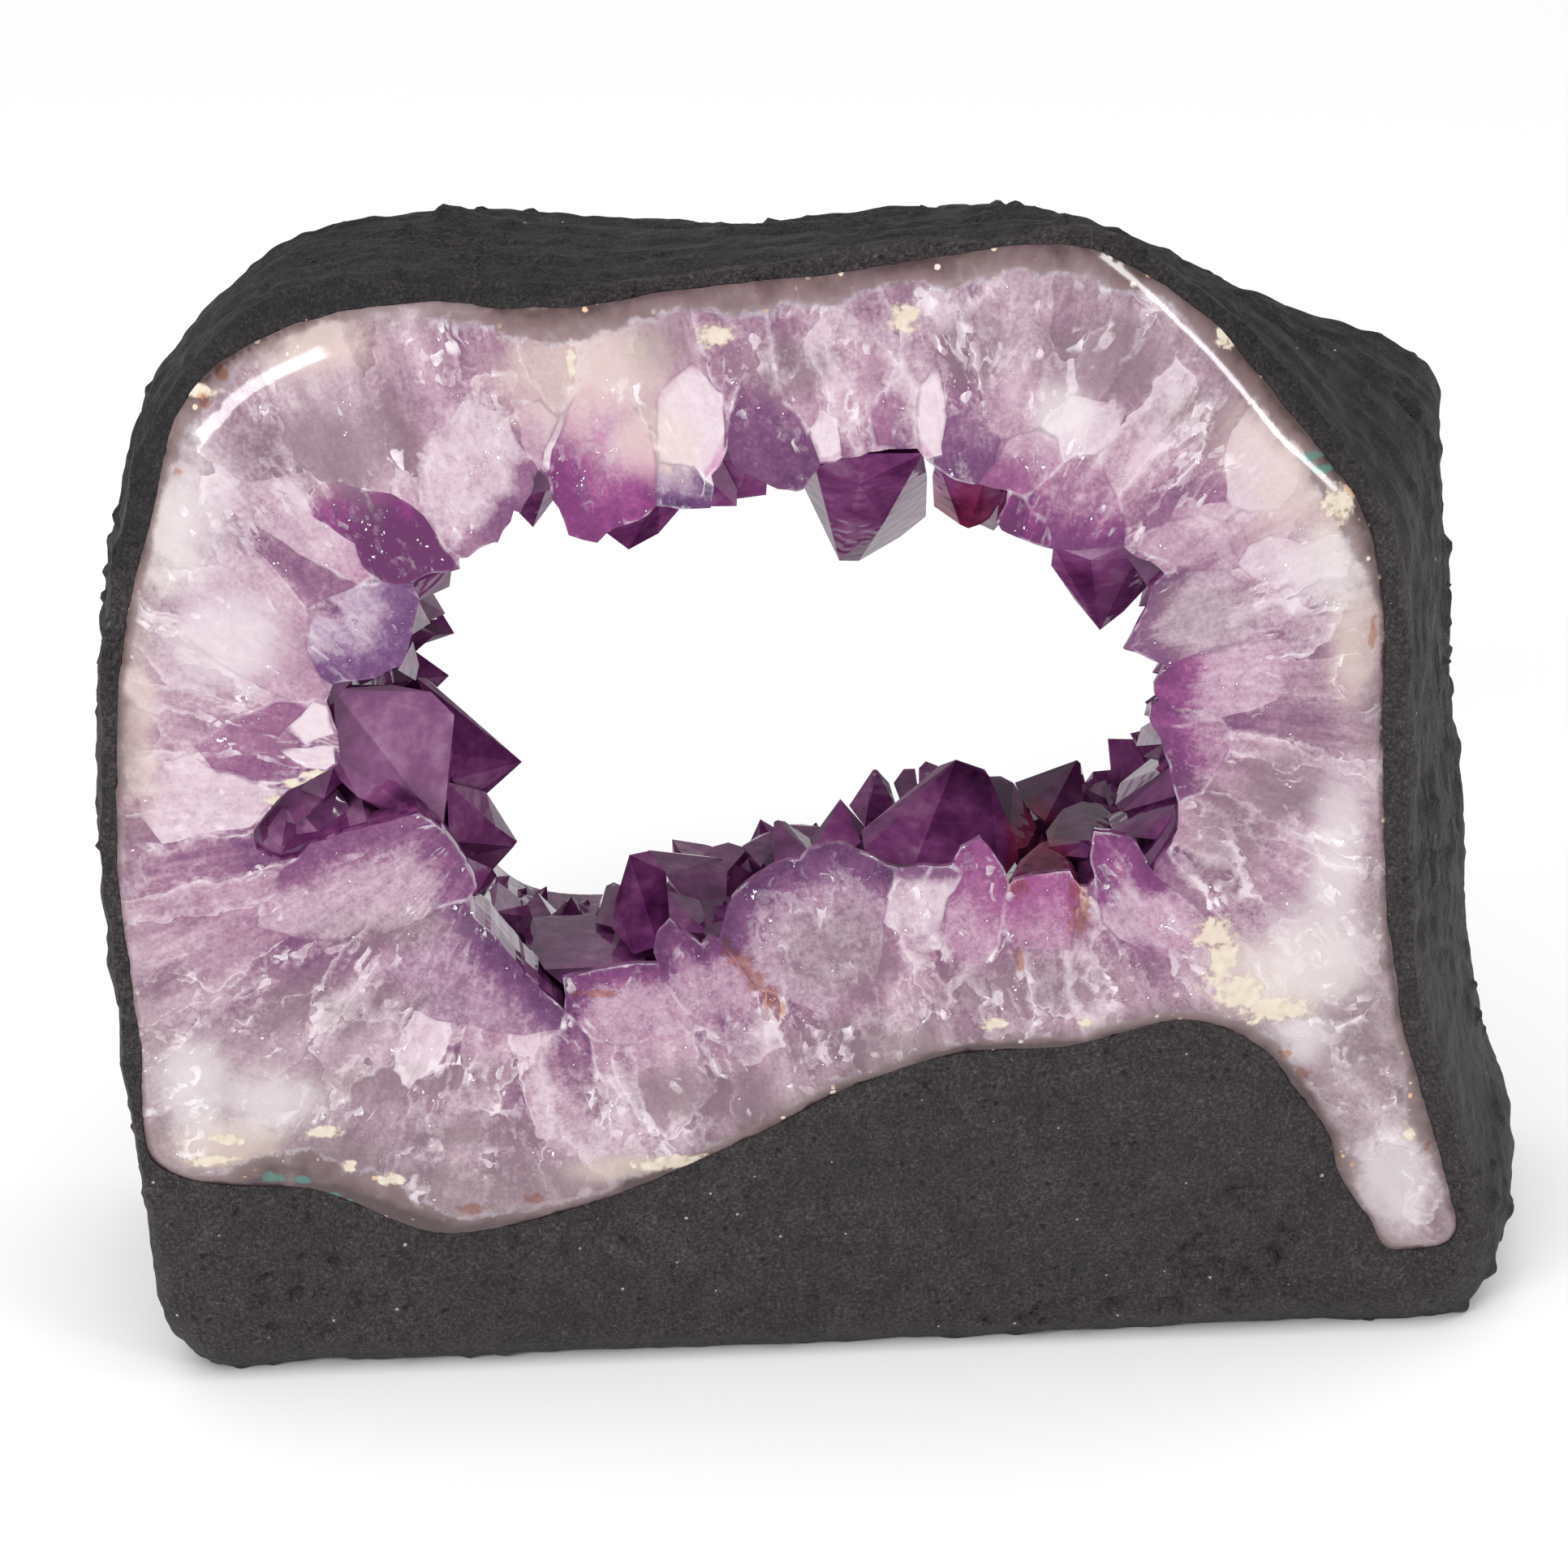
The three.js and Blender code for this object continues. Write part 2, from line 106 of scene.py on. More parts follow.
# The edge of the saw cut round the hole, clockwise from the left end.
MOUTH = [
    (-141, 149.5), (-146, 153), (-146.5, 158), (-143, 162), (-138, 168), (-130, 171.5), (-125, 175),
    (-125, 180), (-126, 185), (-127, 190), (-125.5, 194.5), (-121, 195), (-115.5, 195.5), (-113.5, 197),
    (-110, 198.5), (-108.5, 202.5), (-107, 207), (-106, 211.5), (-105.5, 215), (-107, 219), (-103.5, 221),
    (-97.5, 222), (-95.5, 222.5), (-96, 225.5), (-94, 225.5), (-91.5, 227), (-87, 228.5), (-86, 228.5),
    (-85, 231), (-83.5, 233), (-82.5, 236), (-81, 235.5), (-79, 240), (-78, 244), (-77, 245.5),
    (-75, 243.5), (-74, 238), (-72.5, 236), (-70.5, 230), (-67.5, 228.5), (-64.5, 227.5), (-62.5, 229.5),
    (-59, 231), (-52.5, 234.5), (-50.5, 236.5), (-45.5, 235), (-39, 235), (-38, 240), (-38.5, 243),
    (-36.5, 246), (-35, 248.5), (-34.5, 249.5), (-33.5, 246.5), (-30.5, 243.5), (-26.5, 241), (-23, 239),
    (-19, 238.5), (-17.5, 239), (-16, 241), (-14, 245), (-10.5, 245.5), (-9, 247), (-5, 247.5), (-3, 248),
    (8, 248.5), (10, 246), (13, 243.5), (16.5, 241), (20.5, 239.5), (22, 239), (25, 238), (28.5, 238),
    (28.5, 235), (26, 230), (27, 228), (30, 226.5), (33, 225.5), (36, 224.5), (40, 223.5), (44, 222.5),
    (49.5, 223), (55.5, 223), (58.5, 220.5), (62, 219), (66, 216), (62.5, 213), (62, 210.5),
    (61.5, 207.5), (60, 204.5), (58, 199), (57.5, 197.5), (63.5, 195), (67, 193.5), (66, 191),
    (65, 188.5), (65, 186), (66, 184.5), (64.5, 183), (64.5, 179.5), (65, 177.5), (66, 176), (67.5, 172),
    (69, 168), (70.5, 162), (72.5, 157), (73, 150), (70, 144), (67.5, 139), (65, 143), (63, 146.5),
    (60.5, 149), (56, 150), (52, 150.5), (51.5, 143), (53, 137), (51.5, 135), (50, 135), (48.5, 137),
    (47.5, 139.5), (44, 140), (36, 138.5), (33, 137.5), (32, 136.5), (30.5, 142), (25, 150), (20.5, 147),
    (19, 143), (18, 142.5), (10, 142.5), (5, 142), (2.5, 142.5), (0, 145), (-4, 147), (-8, 149),
    (-11.5, 149.5), (-15.5, 148), (-18, 145.5), (-21.5, 145), (-25, 143.5), (-29, 141), (-31.5, 139),
    (-35, 135.5), (-37.5, 124.5), (-40, 125), (-42, 123), (-45, 125.5), (-49.5, 129.5), (-52, 127),
    (-53.5, 121.5), (-53, 118.5), (-60, 118.5), (-70, 116.5), (-75, 115.5), (-74.5, 110), (-75, 106.5),
    (-78, 109.5), (-84, 116.5), (-90, 125), (-96, 133), (-97, 138), (-95, 140.5), (-95.5, 142.5),
    (-97.5, 147.5), (-100.5, 152.5), (-102.5, 156), (-105, 159), (-108, 161), (-115, 159), (-124, 156.5),
    (-130, 154.5), (-134, 153.5), (-137, 150),
]

# The open pocket at the left end of the hole, and how far back its floor lies.
POCKET = [
    (-141, 150), (-145.5, 153), (-146, 158), (-143, 161.5), (-138, 167.5), (-130, 171), (-124, 174.5),
    (-112, 172), (-108, 161.5), (-115, 159.5), (-124, 157), (-130, 155),
]
POCKET_DEPTH = 14
POCKET_FLOOR = 0.6  # how wide its floor is, of its mouth

# Crystals that the saw cut through: outline of the section, how deep the crystal runs back,
# then how purple it is at the hole, its hue (-1 blue violet to 1 magenta), how milky it is away
# from the hole, and how many millimetres the purple reaches in. 1 is full, and some go past it.
SECTIONS = {
    "magenta": ([
        (-129, 239.5), (-126.5, 244), (-121, 244), (-115, 242), (-110, 241), (-106.5, 239), (-103, 235),
        (-101, 231), (-99.5, 228), *MOUTH[22:18:-1], (-110, 218.5), (-112.5, 219.5), (-114.5, 221.5),
        (-117, 224), (-118, 226.5), (-118.5, 229), (-124, 233.5), (-127.5, 236),
    ], 14, 1.2, 1.0, 0.1, 42),
    "violet": ([
        *MOUTH[10:20], (-110, 218.5), (-112.5, 219.5), (-118, 219.5), (-125, 216), (-130, 210),
        (-131, 204), (-128, 196.5),
    ], 8, 0.72, -0.75, 0.55, 15),
    "lavender": ([
        (-99.5, 228), (-95, 225.5), *MOUTH[24:34], (-80.5, 250), (-84, 258), (-90, 262), (-97, 262),
        (-101, 255), (-104, 246), (-103, 236),
    ], 8, 0.62, 0.0, 0.75, 9),
    "streak": ([(-72, 259), (-70.5, 258.5), (-74, 246), (-75.5, 245), (-76.5, 246)], 6, 0.0, 0.0, 1.6, 4),
    "glassy": ([
        (-80.5, 250), (-77, 245.5), (-76.5, 246), (-72.5, 258), (-76, 262), (-82, 262),
    ], 6, 0.0, 0.0, 0.25, 5),
    "rose": ([
        (-75, 244), *MOUTH[36:45], (-50, 245), (-52, 255), (-57, 262), (-66, 266), (-71, 259),
    ], 10, 0.8, 0.65, 0.25, 18),
    "blue_step": ([*MOUTH[44:48], (-40, 242), (-42, 246), (-50, 246.5)], 9, 0.85, -0.8, 0.35, 7),
    "beige": ([
        (-50, 246.5), (-42, 246), (-40, 242), (-38.5, 243.5), (-36.5, 246), (-35, 248.5), (-35.5, 262),
        (-42, 270), (-50, 263),
    ], 6, 0.0, 0.2, 1.15, 4),
    "teardrop": ([
        *MOUTH[51:60], (-14.5, 249), (-16.5, 253), (-20, 258), (-24, 263), (-28, 266.5), (-30.5, 267),
        (-32.5, 262), (-34, 256),
    ], 10, 0.85, -0.05, 0.15, 32),
    "white_left": ([
        (-14, 245.5), (-10.5, 246), (-9, 247), (-10, 256), (-14, 258), (-16, 253.5),
    ], 5, 0.1, 0.0, 1.2, 3),
    "slot": ([
        (-1.5, 249.5), (2.5, 249.5), (3, 256), (1.5, 263), (-1, 262), (-2.5, 256),
    ], 4, 0.5, 0.1, 0.1, 30),
    "pillar": ([
        (8.5, 248.5), (10, 246), (13.5, 247), (14.5, 256), (12, 268), (8, 263),
    ], 5, 0.1, 0.1, 1.15, 4),
    "round": ([
        *MOUTH[65:70], (25.5, 243), (26.5, 250), (23, 256), (18, 257.5), (14.5, 255), (13.5, 247),
    ], 9, 0.85, -0.2, 0.15, 20),
    "pink": ([
        *MOUTH[69:72], (33, 236), (37, 239), (41, 244), (40, 250), (34, 252), (28, 250), (25.5, 244),
    ], 8, 0.6, 0.3, 0.4, 14),
    "magenta_low": ([*MOUTH[71:79], (38, 231), (34.5, 233), (33, 236)], 8, 0.95, 0.7, 0.1, 16),
    "mauve": ([
        (33, 236), (34.5, 233), (38, 231), *MOUTH[78:82], (56, 228), (54, 236), (50, 243), (44, 246),
        (41, 244), (37, 239),
    ], 8, 0.85, 0.35, 0.2, 14),
    "shard": ([
        (40, 250), (35, 252.5), (42, 260), (55, 257.5), (53, 249), (48, 245.5), (44, 246), (41, 244),
    ], 4, 0.1, 0.0, 1.0, 4),
    "notch": ([
        *MOUTH[84:93], (76, 196), (84, 197), (88, 203), (86, 212), (80, 217), (72, 217),
    ], 10, 0.7, -0.1, 0.5, 10),
    "bright": ([
        *MOUTH[92:100], (70, 177), (76, 178), (84, 180), (94, 183), (99, 189), (96, 197), (86, 199),
        (76, 196.5),
    ], 9, 0.74, 0.45, 0.55, 18),
    "sparkling": ([
        *MOUTH[99:105], (78, 160), (83, 168), (85, 179), (76, 178), (70, 177),
    ], 8, 0.85, 0.4, 0.3, 15),
    "right_low": ([
        *MOUTH[112:106:-1], (71, 135), (75, 131), (79, 126.5), (81, 124.5), (79.5, 120), (78, 115),
        (70, 116), (63, 118.5), (60, 120.5), (56, 125), (54, 131), (53, 137), (51.5, 143),
    ], 12, 0.85, 0.45, 0.55, 13),
    "reddish": ([
        *MOUTH[122:116:-1], (50, 134), (49, 126), (48, 118), (34, 118), (31, 126),
    ], 10, 0.6, 0.45, 0.1, 16),
    "purple_mid": ([
        (18.5, 143), *MOUTH[125:121:-1], (31, 126), (30, 118), (24, 112), (19, 114), (17, 122), (18, 133),
        (21, 139.5),
    ], 10, 0.65, 0.4, 0.35, 18),
    "white_mid": ([
        *MOUTH[129:126:-1], (21, 139.5), (18, 133), (16.5, 127), (15, 123.5), (9, 123), (3, 126),
        (2, 127), (3, 135),
    ], 5, 0.7, -0.1, 0.95, 8),
    "fan": ([
        *MOUTH[129:143], (-31, 114), (-27, 110), (-20, 106), (-8, 101), (-2, 104), (0, 112), (2, 120),
        (2, 127), (3, 135),
    ], 6, 0.95, -0.1, 0.35, 14),
    "arrow": ([
        *MOUTH[142:150], (-52, 115.5), (-48, 108.5), (-44.5, 101), (-36, 98), (-30, 104), (-29, 111),
        (-33, 117),
    ], 7, 0.95, 0.25, 0.35, 10),
    "flat_top": ([
        *MOUTH[149:155], (-72, 102), (-68, 97), (-60, 95), (-50, 96), (-45, 99), (-44.5, 101),
        (-48, 108.5), (-52, 115.5),
    ], 3.5, 0.9, 0.35, 0.45, 10),
    "slope": ([
        *MOUTH[154:160], (-103, 136), (-112, 131), (-120, 122), (-118, 112), (-108, 105), (-95, 101),
        (-85, 100), (-76, 101),
    ], 18, 0.9, -0.2, 0.2, 13),
    "great_left": ([
        *MOUTH[159:172], (-142, 146), (-146, 140), (-148, 132), (-135, 128), (-120, 128), (-112, 131),
        (-103, 136),
    ], 9, 0.75, 0.1, 0.5, 16),
    "lilac_long": ([
        (-149, 241), (-139, 245), (-127, 246.5), (-126.5, 244), (-129, 239.5), (-127.5, 236),
        (-124, 233.5), (-118.5, 229), (-118, 226.5), (-117, 224), (-114.5, 221.5), (-118, 219.5),
        (-121.5, 220.5), (-128, 225), (-134.5, 230), (-142, 235),
    ], 4, 0.34, 0.1, 0.6, 30),
    "mauve_long": ([
        (-142, 235), (-134.5, 230), (-128, 225), (-121.5, 220.5), (-118, 219.5), (-125, 216),
        (-130, 213.5), (-135, 220), (-139, 226), (-143, 230),
    ], 4, 0.62, 0.0, 0.1, 60),
    "rose_left": ([
        (-151, 226.5), (-143, 230), (-139, 226), (-135, 220), (-130, 213.5), (-130, 210), (-131, 204),
        (-128, 196.5), (-126, 192), (-132, 190), (-139, 192), (-149, 199), (-159, 209), (-160, 217),
    ], 4, 0.3, 0.0, 0.45, 40),
    "window_high": ([
        (-138, 183.5), (-134, 186.5), (-130.5, 190), (-127, 189), (-126.5, 182), (-133, 179.5),
    ], 4, 0.15, 0.0, 1.3, 1),
    "window_low": ([
        (-140, 179), (-133, 178.5), (-126.5, 179), (-126.5, 174.5), (-129, 173), (-133, 173.5),
    ], 4, 0.15, 0.0, 1.2, 1),
    "blush": ([
        (-158, 180), (-149, 187), (-139, 190.5), (-130.5, 190), (-134, 186.5), (-138, 183.5), (-140, 179),
        (-133, 173.5), (-136, 170), (-146, 171), (-155, 174),
    ], 4, 0.6, 0.1, 0.05, 60),
    "pale_left": ([
        (-160, 178), (-154, 173), (-146, 170.5), (-140, 168.5), (-142, 163), (-147, 159), (-155, 158),
        (-168, 155), (-173, 163), (-168, 173),
    ], 4, 0.2, 0.1, 0.85, 2),
    "honey": ([
        (79, 251), (81, 254), (86, 259.5), (90, 256), (95, 249), (96.5, 243), (95, 236), (91, 231.5),
        (84, 231), (80, 233), (78, 238), (77.5, 245),
    ], 4, 0.2, 0.0, 0.75, 2),
    "mauve_right": ([(74, 240), (78, 242), (79, 237), (79, 234), (71, 233)], 4, 0.65, 0.1, 0.0, 60),
    "petal": ([
        (58.5, 222), (60, 226), (66, 229), (74, 231), (83, 228), (85, 223), (83, 218.5), (80, 217),
        (72, 217), (64, 219.5),
    ], 4, 0.3, 0.0, 0.5, 25),
    "whorl": ([
        (85, 223), (90, 225), (96, 223), (101, 219), (100, 214), (92, 213), (86, 215), (83, 218.5),
    ], 4, 0.15, 0.0, 0.9, 2),
}

# Whole crystals inside the hole, by the corners of their faces.
NATURAL = {
    "recess_a": [
        (-146, -46, 153), (-140, -40, 158), (-136, -42, 152), (-141, -47, 150), (-138, -44, 163),
    ],
    "recess_b": [(-140, -44, 164), (-133, -39, 168), (-130, -41, 160), (-137, -46, 157)],
    "recess_c": [(-135, -44, 158), (-127, -40, 163), (-123, -42, 156), (-130, -47, 153)],
    "recess_d": [(-132, -44, 170), (-126, -42, 174), (-124, -39, 166), (-130, -45, 163)],
    "left_face": [
        (-126, -47, 192), (-113, -41, 190), (-104, -37, 186), (-99, -35, 179), (-100, -35, 167),
        (-103, -37, 150), (-113, -41, 155), (-122, -45, 163), (-126, -47, 174),
    ],
    "left_point": [
        (-84, -10, 154), (-108, -24, 184), (-106, -20, 182), (-100, -14, 173), (-86, -9, 155),
        (-101, -25, 164), (-101, -23, 156), (-97, -17, 148), (-93, -13, 147),
    ],
    "left_low_point": [
        (-86, -10, 132), (-93, -16, 149), (-102, -26, 157), (-102, -30, 143), (-96, -20, 134),
        (-87, -11, 131), (-91, -19, 141),
    ],
    "left_wine": [
        (-91, -26, 131), (-102, -40, 146), (-97, -34, 140), (-92, -28, 134), (-93, -28, 129),
        (-96, -38, 132),
    ],
    "left_black": [
        (-93, -24, 126), (-91, -18, 125), (-87, -14, 119), (-84, -10, 114), (-83, -10, 110),
        (-87, -20, 114), (-92, -30, 123),
    ],
    "far_grey": [(-86, 20, 97), (-82, 26, 98), (-76, 26, 91), (-84, 12, 96), (-77, 12, 96)],
    "far_flat": [(-76, 34, 87), (-73, 36, 88), (-69, 36, 88), (-66, 34, 86), (-71, 20, 90)],
    "grey_left_of_dark": [
        (-67, 2, 104), (-64, 6, 110), (-62, 6, 111), (-60, 0, 113), (-63, -16, 110), (-67, -10, 108),
    ],
    "dark_block": [
        (-63, -20, 112), (-62, -14, 116), (-58, -4, 124), (-53, -4, 125), (-49, -12, 123),
        (-49, -26, 116), (-58, -34, 112), (-52, -34, 114),
    ],
    "grey_block": [
        (-53, 6, 120), (-40, 8, 117), (-35, 6, 117), (-33, 0, 116), (-34, -12, 114), (-44, -16, 116),
        (-49, -8, 120),
    ],
    "dark_wedge": [
        (-49, -22, 123), (-41, -20, 119), (-39, -34, 117), (-46, -38, 120), (-49, -36, 121),
        (-44, -32, 121),
    ],
    "pale_wedge": [(-44, -24, 118), (-40, -18, 118), (-35, -18, 118), (-36, -36, 118), (-40, -38, 118)],
    "far_row_a": [(-40, 24, 107), (-35, 30, 108), (-31, 32, 108), (-26, 30, 107), (-33, 12, 109)],
    "far_row_b": [(-28, 20, 113), (-23, 26, 113), (-20, 26, 114), (-18, 22, 113), (-24, 6, 114)],
    "point_a": [
        (-22, -10, 128), (-21, 0, 130), (-20, 1, 130), (-18, 2, 129), (-12, -2, 126), (-12, -16, 128),
        (-22, -18, 127),
    ],
    "behind_point_a": [(-17, 12, 123), (-13, 14, 122), (-8, 12, 122), (-11, 0, 122)],
    "point_b": [
        (-5, -10, 141), (-13, -18, 134), (1, -12, 134), (-1, -24, 136), (-7, -30, 134), (-13, -26, 134),
    ],
    "point_c": [(5, 8, 140), (6, 8, 140), (-2, -2, 135), (9, 6, 137), (10, -6, 135), (1, -12, 134)],
    "point_d": [(11, 14, 133), (14, 18, 135), (17, 18, 135), (17, 12, 133), (12, 4, 132)],
    "point_e": [(17, 10, 139), (19, 12, 140), (23, 10, 139), (22, 0, 137), (16, 0, 135)],
    "great_point": [
        (25, -2, 147), (27, -2, 146), (32, -4, 145), (33, -6, 144), (38, -22, 134), (38, -26, 131),
        (32, -37, 130), (9, -40, 133), (-1, -32, 138), (-1, -24, 139), (1, -21, 139), (21, -1, 145),
    ],
    "beside_great": [
        (34, 6, 138), (38, 8, 137), (41, 6, 136), (43, 4, 134), (43, -4, 132), (45, -10, 131),
        (41, -20, 131), (36, -24, 132),
    ],
    "grey_point": [
        (59, 16, 137), (60, 16, 136), (42, 10, 134), (60, 10, 130), (59, 4, 130), (51, -8, 131),
        (47, -10, 133), (43, -4, 134),
    ],
    "far_right_a": [(63, 24, 123), (66, 28, 124), (69, 28, 125), (69, 20, 125), (64, 14, 124)],
    "far_right_b": [(67, 22, 126), (70, 24, 126), (72, 20, 125), (67, 10, 126)],
    "flat_grey": [
        (46, -18, 134), (52, -6, 134), (58, 0, 133), (63, 0, 132), (66, -6, 131), (65, -14, 131),
        (56, -28, 136), (54, -33, 134), (48, -33, 135), (45, -30, 136),
    ],
    "red_point": [
        (33, -45, 135), (37, -35, 135), (43, -28, 136), (45, -27, 136), (48, -30, 135), (50, -37, 134),
        (50, -44, 134), (48, -49, 128), (34, -49, 128),
    ],
    "right_dark": [
        (64, -16, 144), (65, -14, 145), (68, -12, 146), (76, -10, 152), (75, -32, 159), (74, -40, 154),
        (63, -28, 144), (62, -24, 144),
    ],
    "right_pink": [
        (61, -20, 139), (66, -20, 141), (74, -34, 152), (75, -45, 154), (71, -48, 146), (64, -42, 144),
        (60, -32, 141),
    ],
    "right_small": [(68, -16, 156), (69, -16, 161), (71, -22, 166), (70, -38, 167), (69, -20, 155)],
    "right_tiny": [(66, -34, 173), (67, -32, 175), (68, -40, 180), (68, -44, 176)],
    "hanging_point": [
        (40, -48, 223), (41, -40, 215), (49, -28, 201), (55, -21, 192), (57, -19, 189), (60, -20, 193),
        (62, -22, 195), (63, -26, 200), (64, -30, 205), (60, -44, 218), (56, -49, 223), (49, -47, 219),
    ],
    "brown_small": [(60, -38, 215), (64, -30, 207), (67, -30, 206), (68, -38, 212), (65, -44, 218)],
    "roof_great": [
        (-15, -20, 228), (-5, -2, 202), (0, 0, 201), (5, 0, 205), (10, 0, 207), (16, -2, 213),
        (13, -28, 233), (10, -44, 245), (-5, -46, 246), (-14, -38, 240), (-8, -28, 228), (-4, -39, 236),
        (4, -20, 219),
    ],
    "roof_red": [
        (15, -26, 225), (21, -28, 221), (23, -28, 220), (26, -28, 221), (28, -29, 223), (30, -37, 232),
        (24, -46, 239), (13, -46, 244), (13, -38, 237), (20, -34, 229),
    ],
    "roof_beige": [(29, 0, 210), (33, 0, 208), (34, -10, 215), (33, -26, 229), (27, -26, 229)],
    "roof_tip_a": [(-79, -20, 220), (-82, -26, 226), (-77, -40, 240), (-74, -40, 241), (-74, -26, 229)],
    "roof_tip_b": [
        (-57, -38, 221), (-62, -40, 226), (-50, -36, 224), (-44, -38, 232), (-50, -46, 238),
        (-59, -46, 231),
    ],
    "roof_tip_c": [(-45, -40, 232), (-32, -38, 231), (-32, -40, 236), (-36, -46, 246), (-40, -46, 242)],
    "roof_tip_d": [(-32, -36, 232), (-25, -34, 232), (-25, -38, 237), (-30, -46, 244), (-36, -46, 247)],
    "roof_tip_e": [(-25, -32, 234), (-20, -34, 235), (-23, -44, 242)],
    "left_tip_a": [(-108, -44, 216), (-98, -32, 215), (-99, -26, 208), (-106, -34, 208)],
    "left_tip_b": [
        (-106, -34, 208), (-105, -24, 200), (-104, -24, 198), (-108, -38, 201), (-108, -42, 209),
    ],
    "left_tip_c": [(-108, -30, 196), (-107, -28, 189), (-108, -28, 185), (-111, -44, 195)],
    "floor_flat": [
        (-87, -8, 107), (-83, -2, 106), (-75, 2, 104), (-67, 0, 105), (-66, -6, 106), (-56, -20, 108),
        (-55, -36, 110), (-75, -42, 108), (-80, -40, 112),
    ],
}

# ---- numbers ----------------------------------------------------------------------------------


HASH_TURN, HASH_SCALE, SEED_SHIFT = 12.9898, 43758.5453, 17.31
LATTICE = np.array([127.1, 311.7, 74.7])


def fraction(values):
    return values - np.floor(values)


def scatter(n):
    """A repeatable number from 0 to 1 for each whole number n."""
    return fraction(np.sin(np.asarray(n) * HASH_TURN) * HASH_SCALE)


def noise(points, size, seed):
    """Smooth noise from -1 to 1 at the points, with features of about the given size."""
    at = points / size + seed * SEED_SHIFT
    cell = np.floor(at)
    part = at - cell
    part = part * part * (3 - 2 * part)
    total = np.zeros(len(points))
    for corner in np.ndindex(*(2,) * points.shape[1]):
        spot = fraction(np.sin((cell + corner) @ LATTICE[:points.shape[1]]) * HASH_SCALE)
        total += spot * np.prod(np.where(corner, part, 1 - part), axis=1)
    return total * 2 - 1


def smooth_step(low, high, value):
    t = np.clip((value - low) / (high - low), 0, 1)
    return t * t * (3 - 2 * t)


def closed_curve(points, places):
    """Points at the places (0 to 1) on the closed centripetal Catmull-Rom curve through points."""
    points = np.asarray(points, float)
    step = (np.asarray(places) % 1) * len(points)
    first = np.floor(step).astype(int)
    w = (step - first)[:, None]
    p0, p1, p2, p3 = (points[(first + k) % len(points)] for k in (-1, 0, 1, 2))
    d0, d1, d2 = (
        np.sqrt(np.linalg.norm(b - a, axis=1))[:, None] for a, b in ((p0, p1), (p1, p2), (p2, p3))
    )
    t1 = ((p1 - p0) / d0 - (p2 - p0) / (d0 + d1) + (p2 - p1) / d1) * d1
    t2 = ((p2 - p1) / d1 - (p3 - p1) / (d1 + d2) + (p3 - p2) / d2) * d1
    return p1 + w * (t1 + w * (3 * (p2 - p1) - 2 * t1 - t2 + w * (2 * (p1 - p2) + t1 + t2)))


def outline_at(rows, y, count):
    """The outline at depth y as `count` points of x and z, and its outward normals."""
    places = np.arange(count) / count
    rows = np.array(rows)
    share = (y - FRONT) / DEPTH
    front, back = closed_curve(rows[:, :2], places), closed_curve(rows[:, 2:4], places)
    ring = front * (1 - share) + back * share
    along = np.roll(ring, -1, axis=0) - np.roll(ring, 1, axis=0)
    along /= np.linalg.norm(along, axis=1)[:, None]
    return ring, np.stack([-along[:, 1], along[:, 0]], axis=1)


def trait(rows, column, count):
    """One of the later numbers of an outline's rows at `count` places round it."""
    values = np.array(rows)[:, column]
    at = np.arange(count) / count * len(values)
    return np.interp(at, np.arange(len(values) + 1), np.append(values, values[0]))


WOBBLE = [(7, 1, 0.55), (7, 2, 0.55), (2.6, 3, 0.3), (2.6, 4, 0.3)]  # size, seed, reach
CUT_STEP, FINE_STEP = 2.2, 0.7  # spacing of the points on a broken line, as cut and to measure from


def wobbled(flat):
    """Points on a cut face, moved a little so that straight lines between them look broken."""
    shift = [noise(flat, size, seed) * reach for size, seed, reach in WOBBLE]
    return flat + np.stack([shift[0] + shift[2], shift[1] + shift[3]], axis=1)


def broken_line(flat, step=CUT_STEP):
    """The closed outline with more points on it, each a little off the straight line."""
    flat = np.asarray(flat, float)
    parts = []
    for a, b in zip(flat, np.roll(flat, -1, axis=0)):
        pieces = max(1, round(np.linalg.norm(b - a) / step))
        parts.append(a + (b - a) * (np.arange(pieces) / pieces)[:, None])
    return wobbled(np.concatenate(parts))


def inside(flat, outline):
    """Which of the points lie inside the closed outline."""
    x, z = flat[:, 0], flat[:, 1]
    hit = np.zeros(len(flat), bool)
    for (x0, z0), (x1, z1) in zip(outline, np.roll(outline, -1, axis=0)):
        if z0 != z1:
            hit ^= ((z0 > z) != (z1 > z)) & (x < (x1 - x0) * (z - z0) / (z1 - z0) + x0)
    return hit


def nearest(flat, samples):
    """The distance from each point to the nearest sample, and which sample that is."""
    tree = KDTree(len(samples))
    for i, (x, z) in enumerate(samples):
        tree.insert((x, z, 0), i)
    tree.balance()
    found = [tree.find((x, z, 0)) for x, z in flat]
    return np.array([f[2] for f in found]), np.array([f[1] for f in found])


# ---- meshes -----------------------------------------------------------------------------------


def mesh_object(name, vertices, faces):
    """A new object from vertices in millimetres. Its faces are turned outwards."""
    mesh = bpy.data.meshes.new(name)
    mesh.from_pydata([tuple(v) for v in np.asarray(vertices) * MM], [], faces)
    shape = bmesh.new()
    shape.from_mesh(mesh)
    bmesh.ops.recalc_face_normals(shape, faces=shape.faces)
    shape.to_mesh(mesh)
    shape.free()
    return bpy.data.objects.new(name, mesh)


def loft(name, rings):
    """A closed solid through rings of equal count, listed from front to back."""
    count = len(rings[0])
    i = np.arange(count)
    j = (i + 1) % count
    faces = []
    for k in range(len(rings) - 1):
        quads = np.stack([i, j, j + count, i + count], axis=1) + k * count
        faces += quads.tolist()
    faces += [i.tolist(), (i + count * (len(rings) - 1)).tolist()]
    return mesh_object(name, np.concatenate(rings), faces)


def at_depth(flat, y):
    return np.stack([flat[:, 0], np.full(len(flat), float(y)), flat[:, 1]], axis=1)


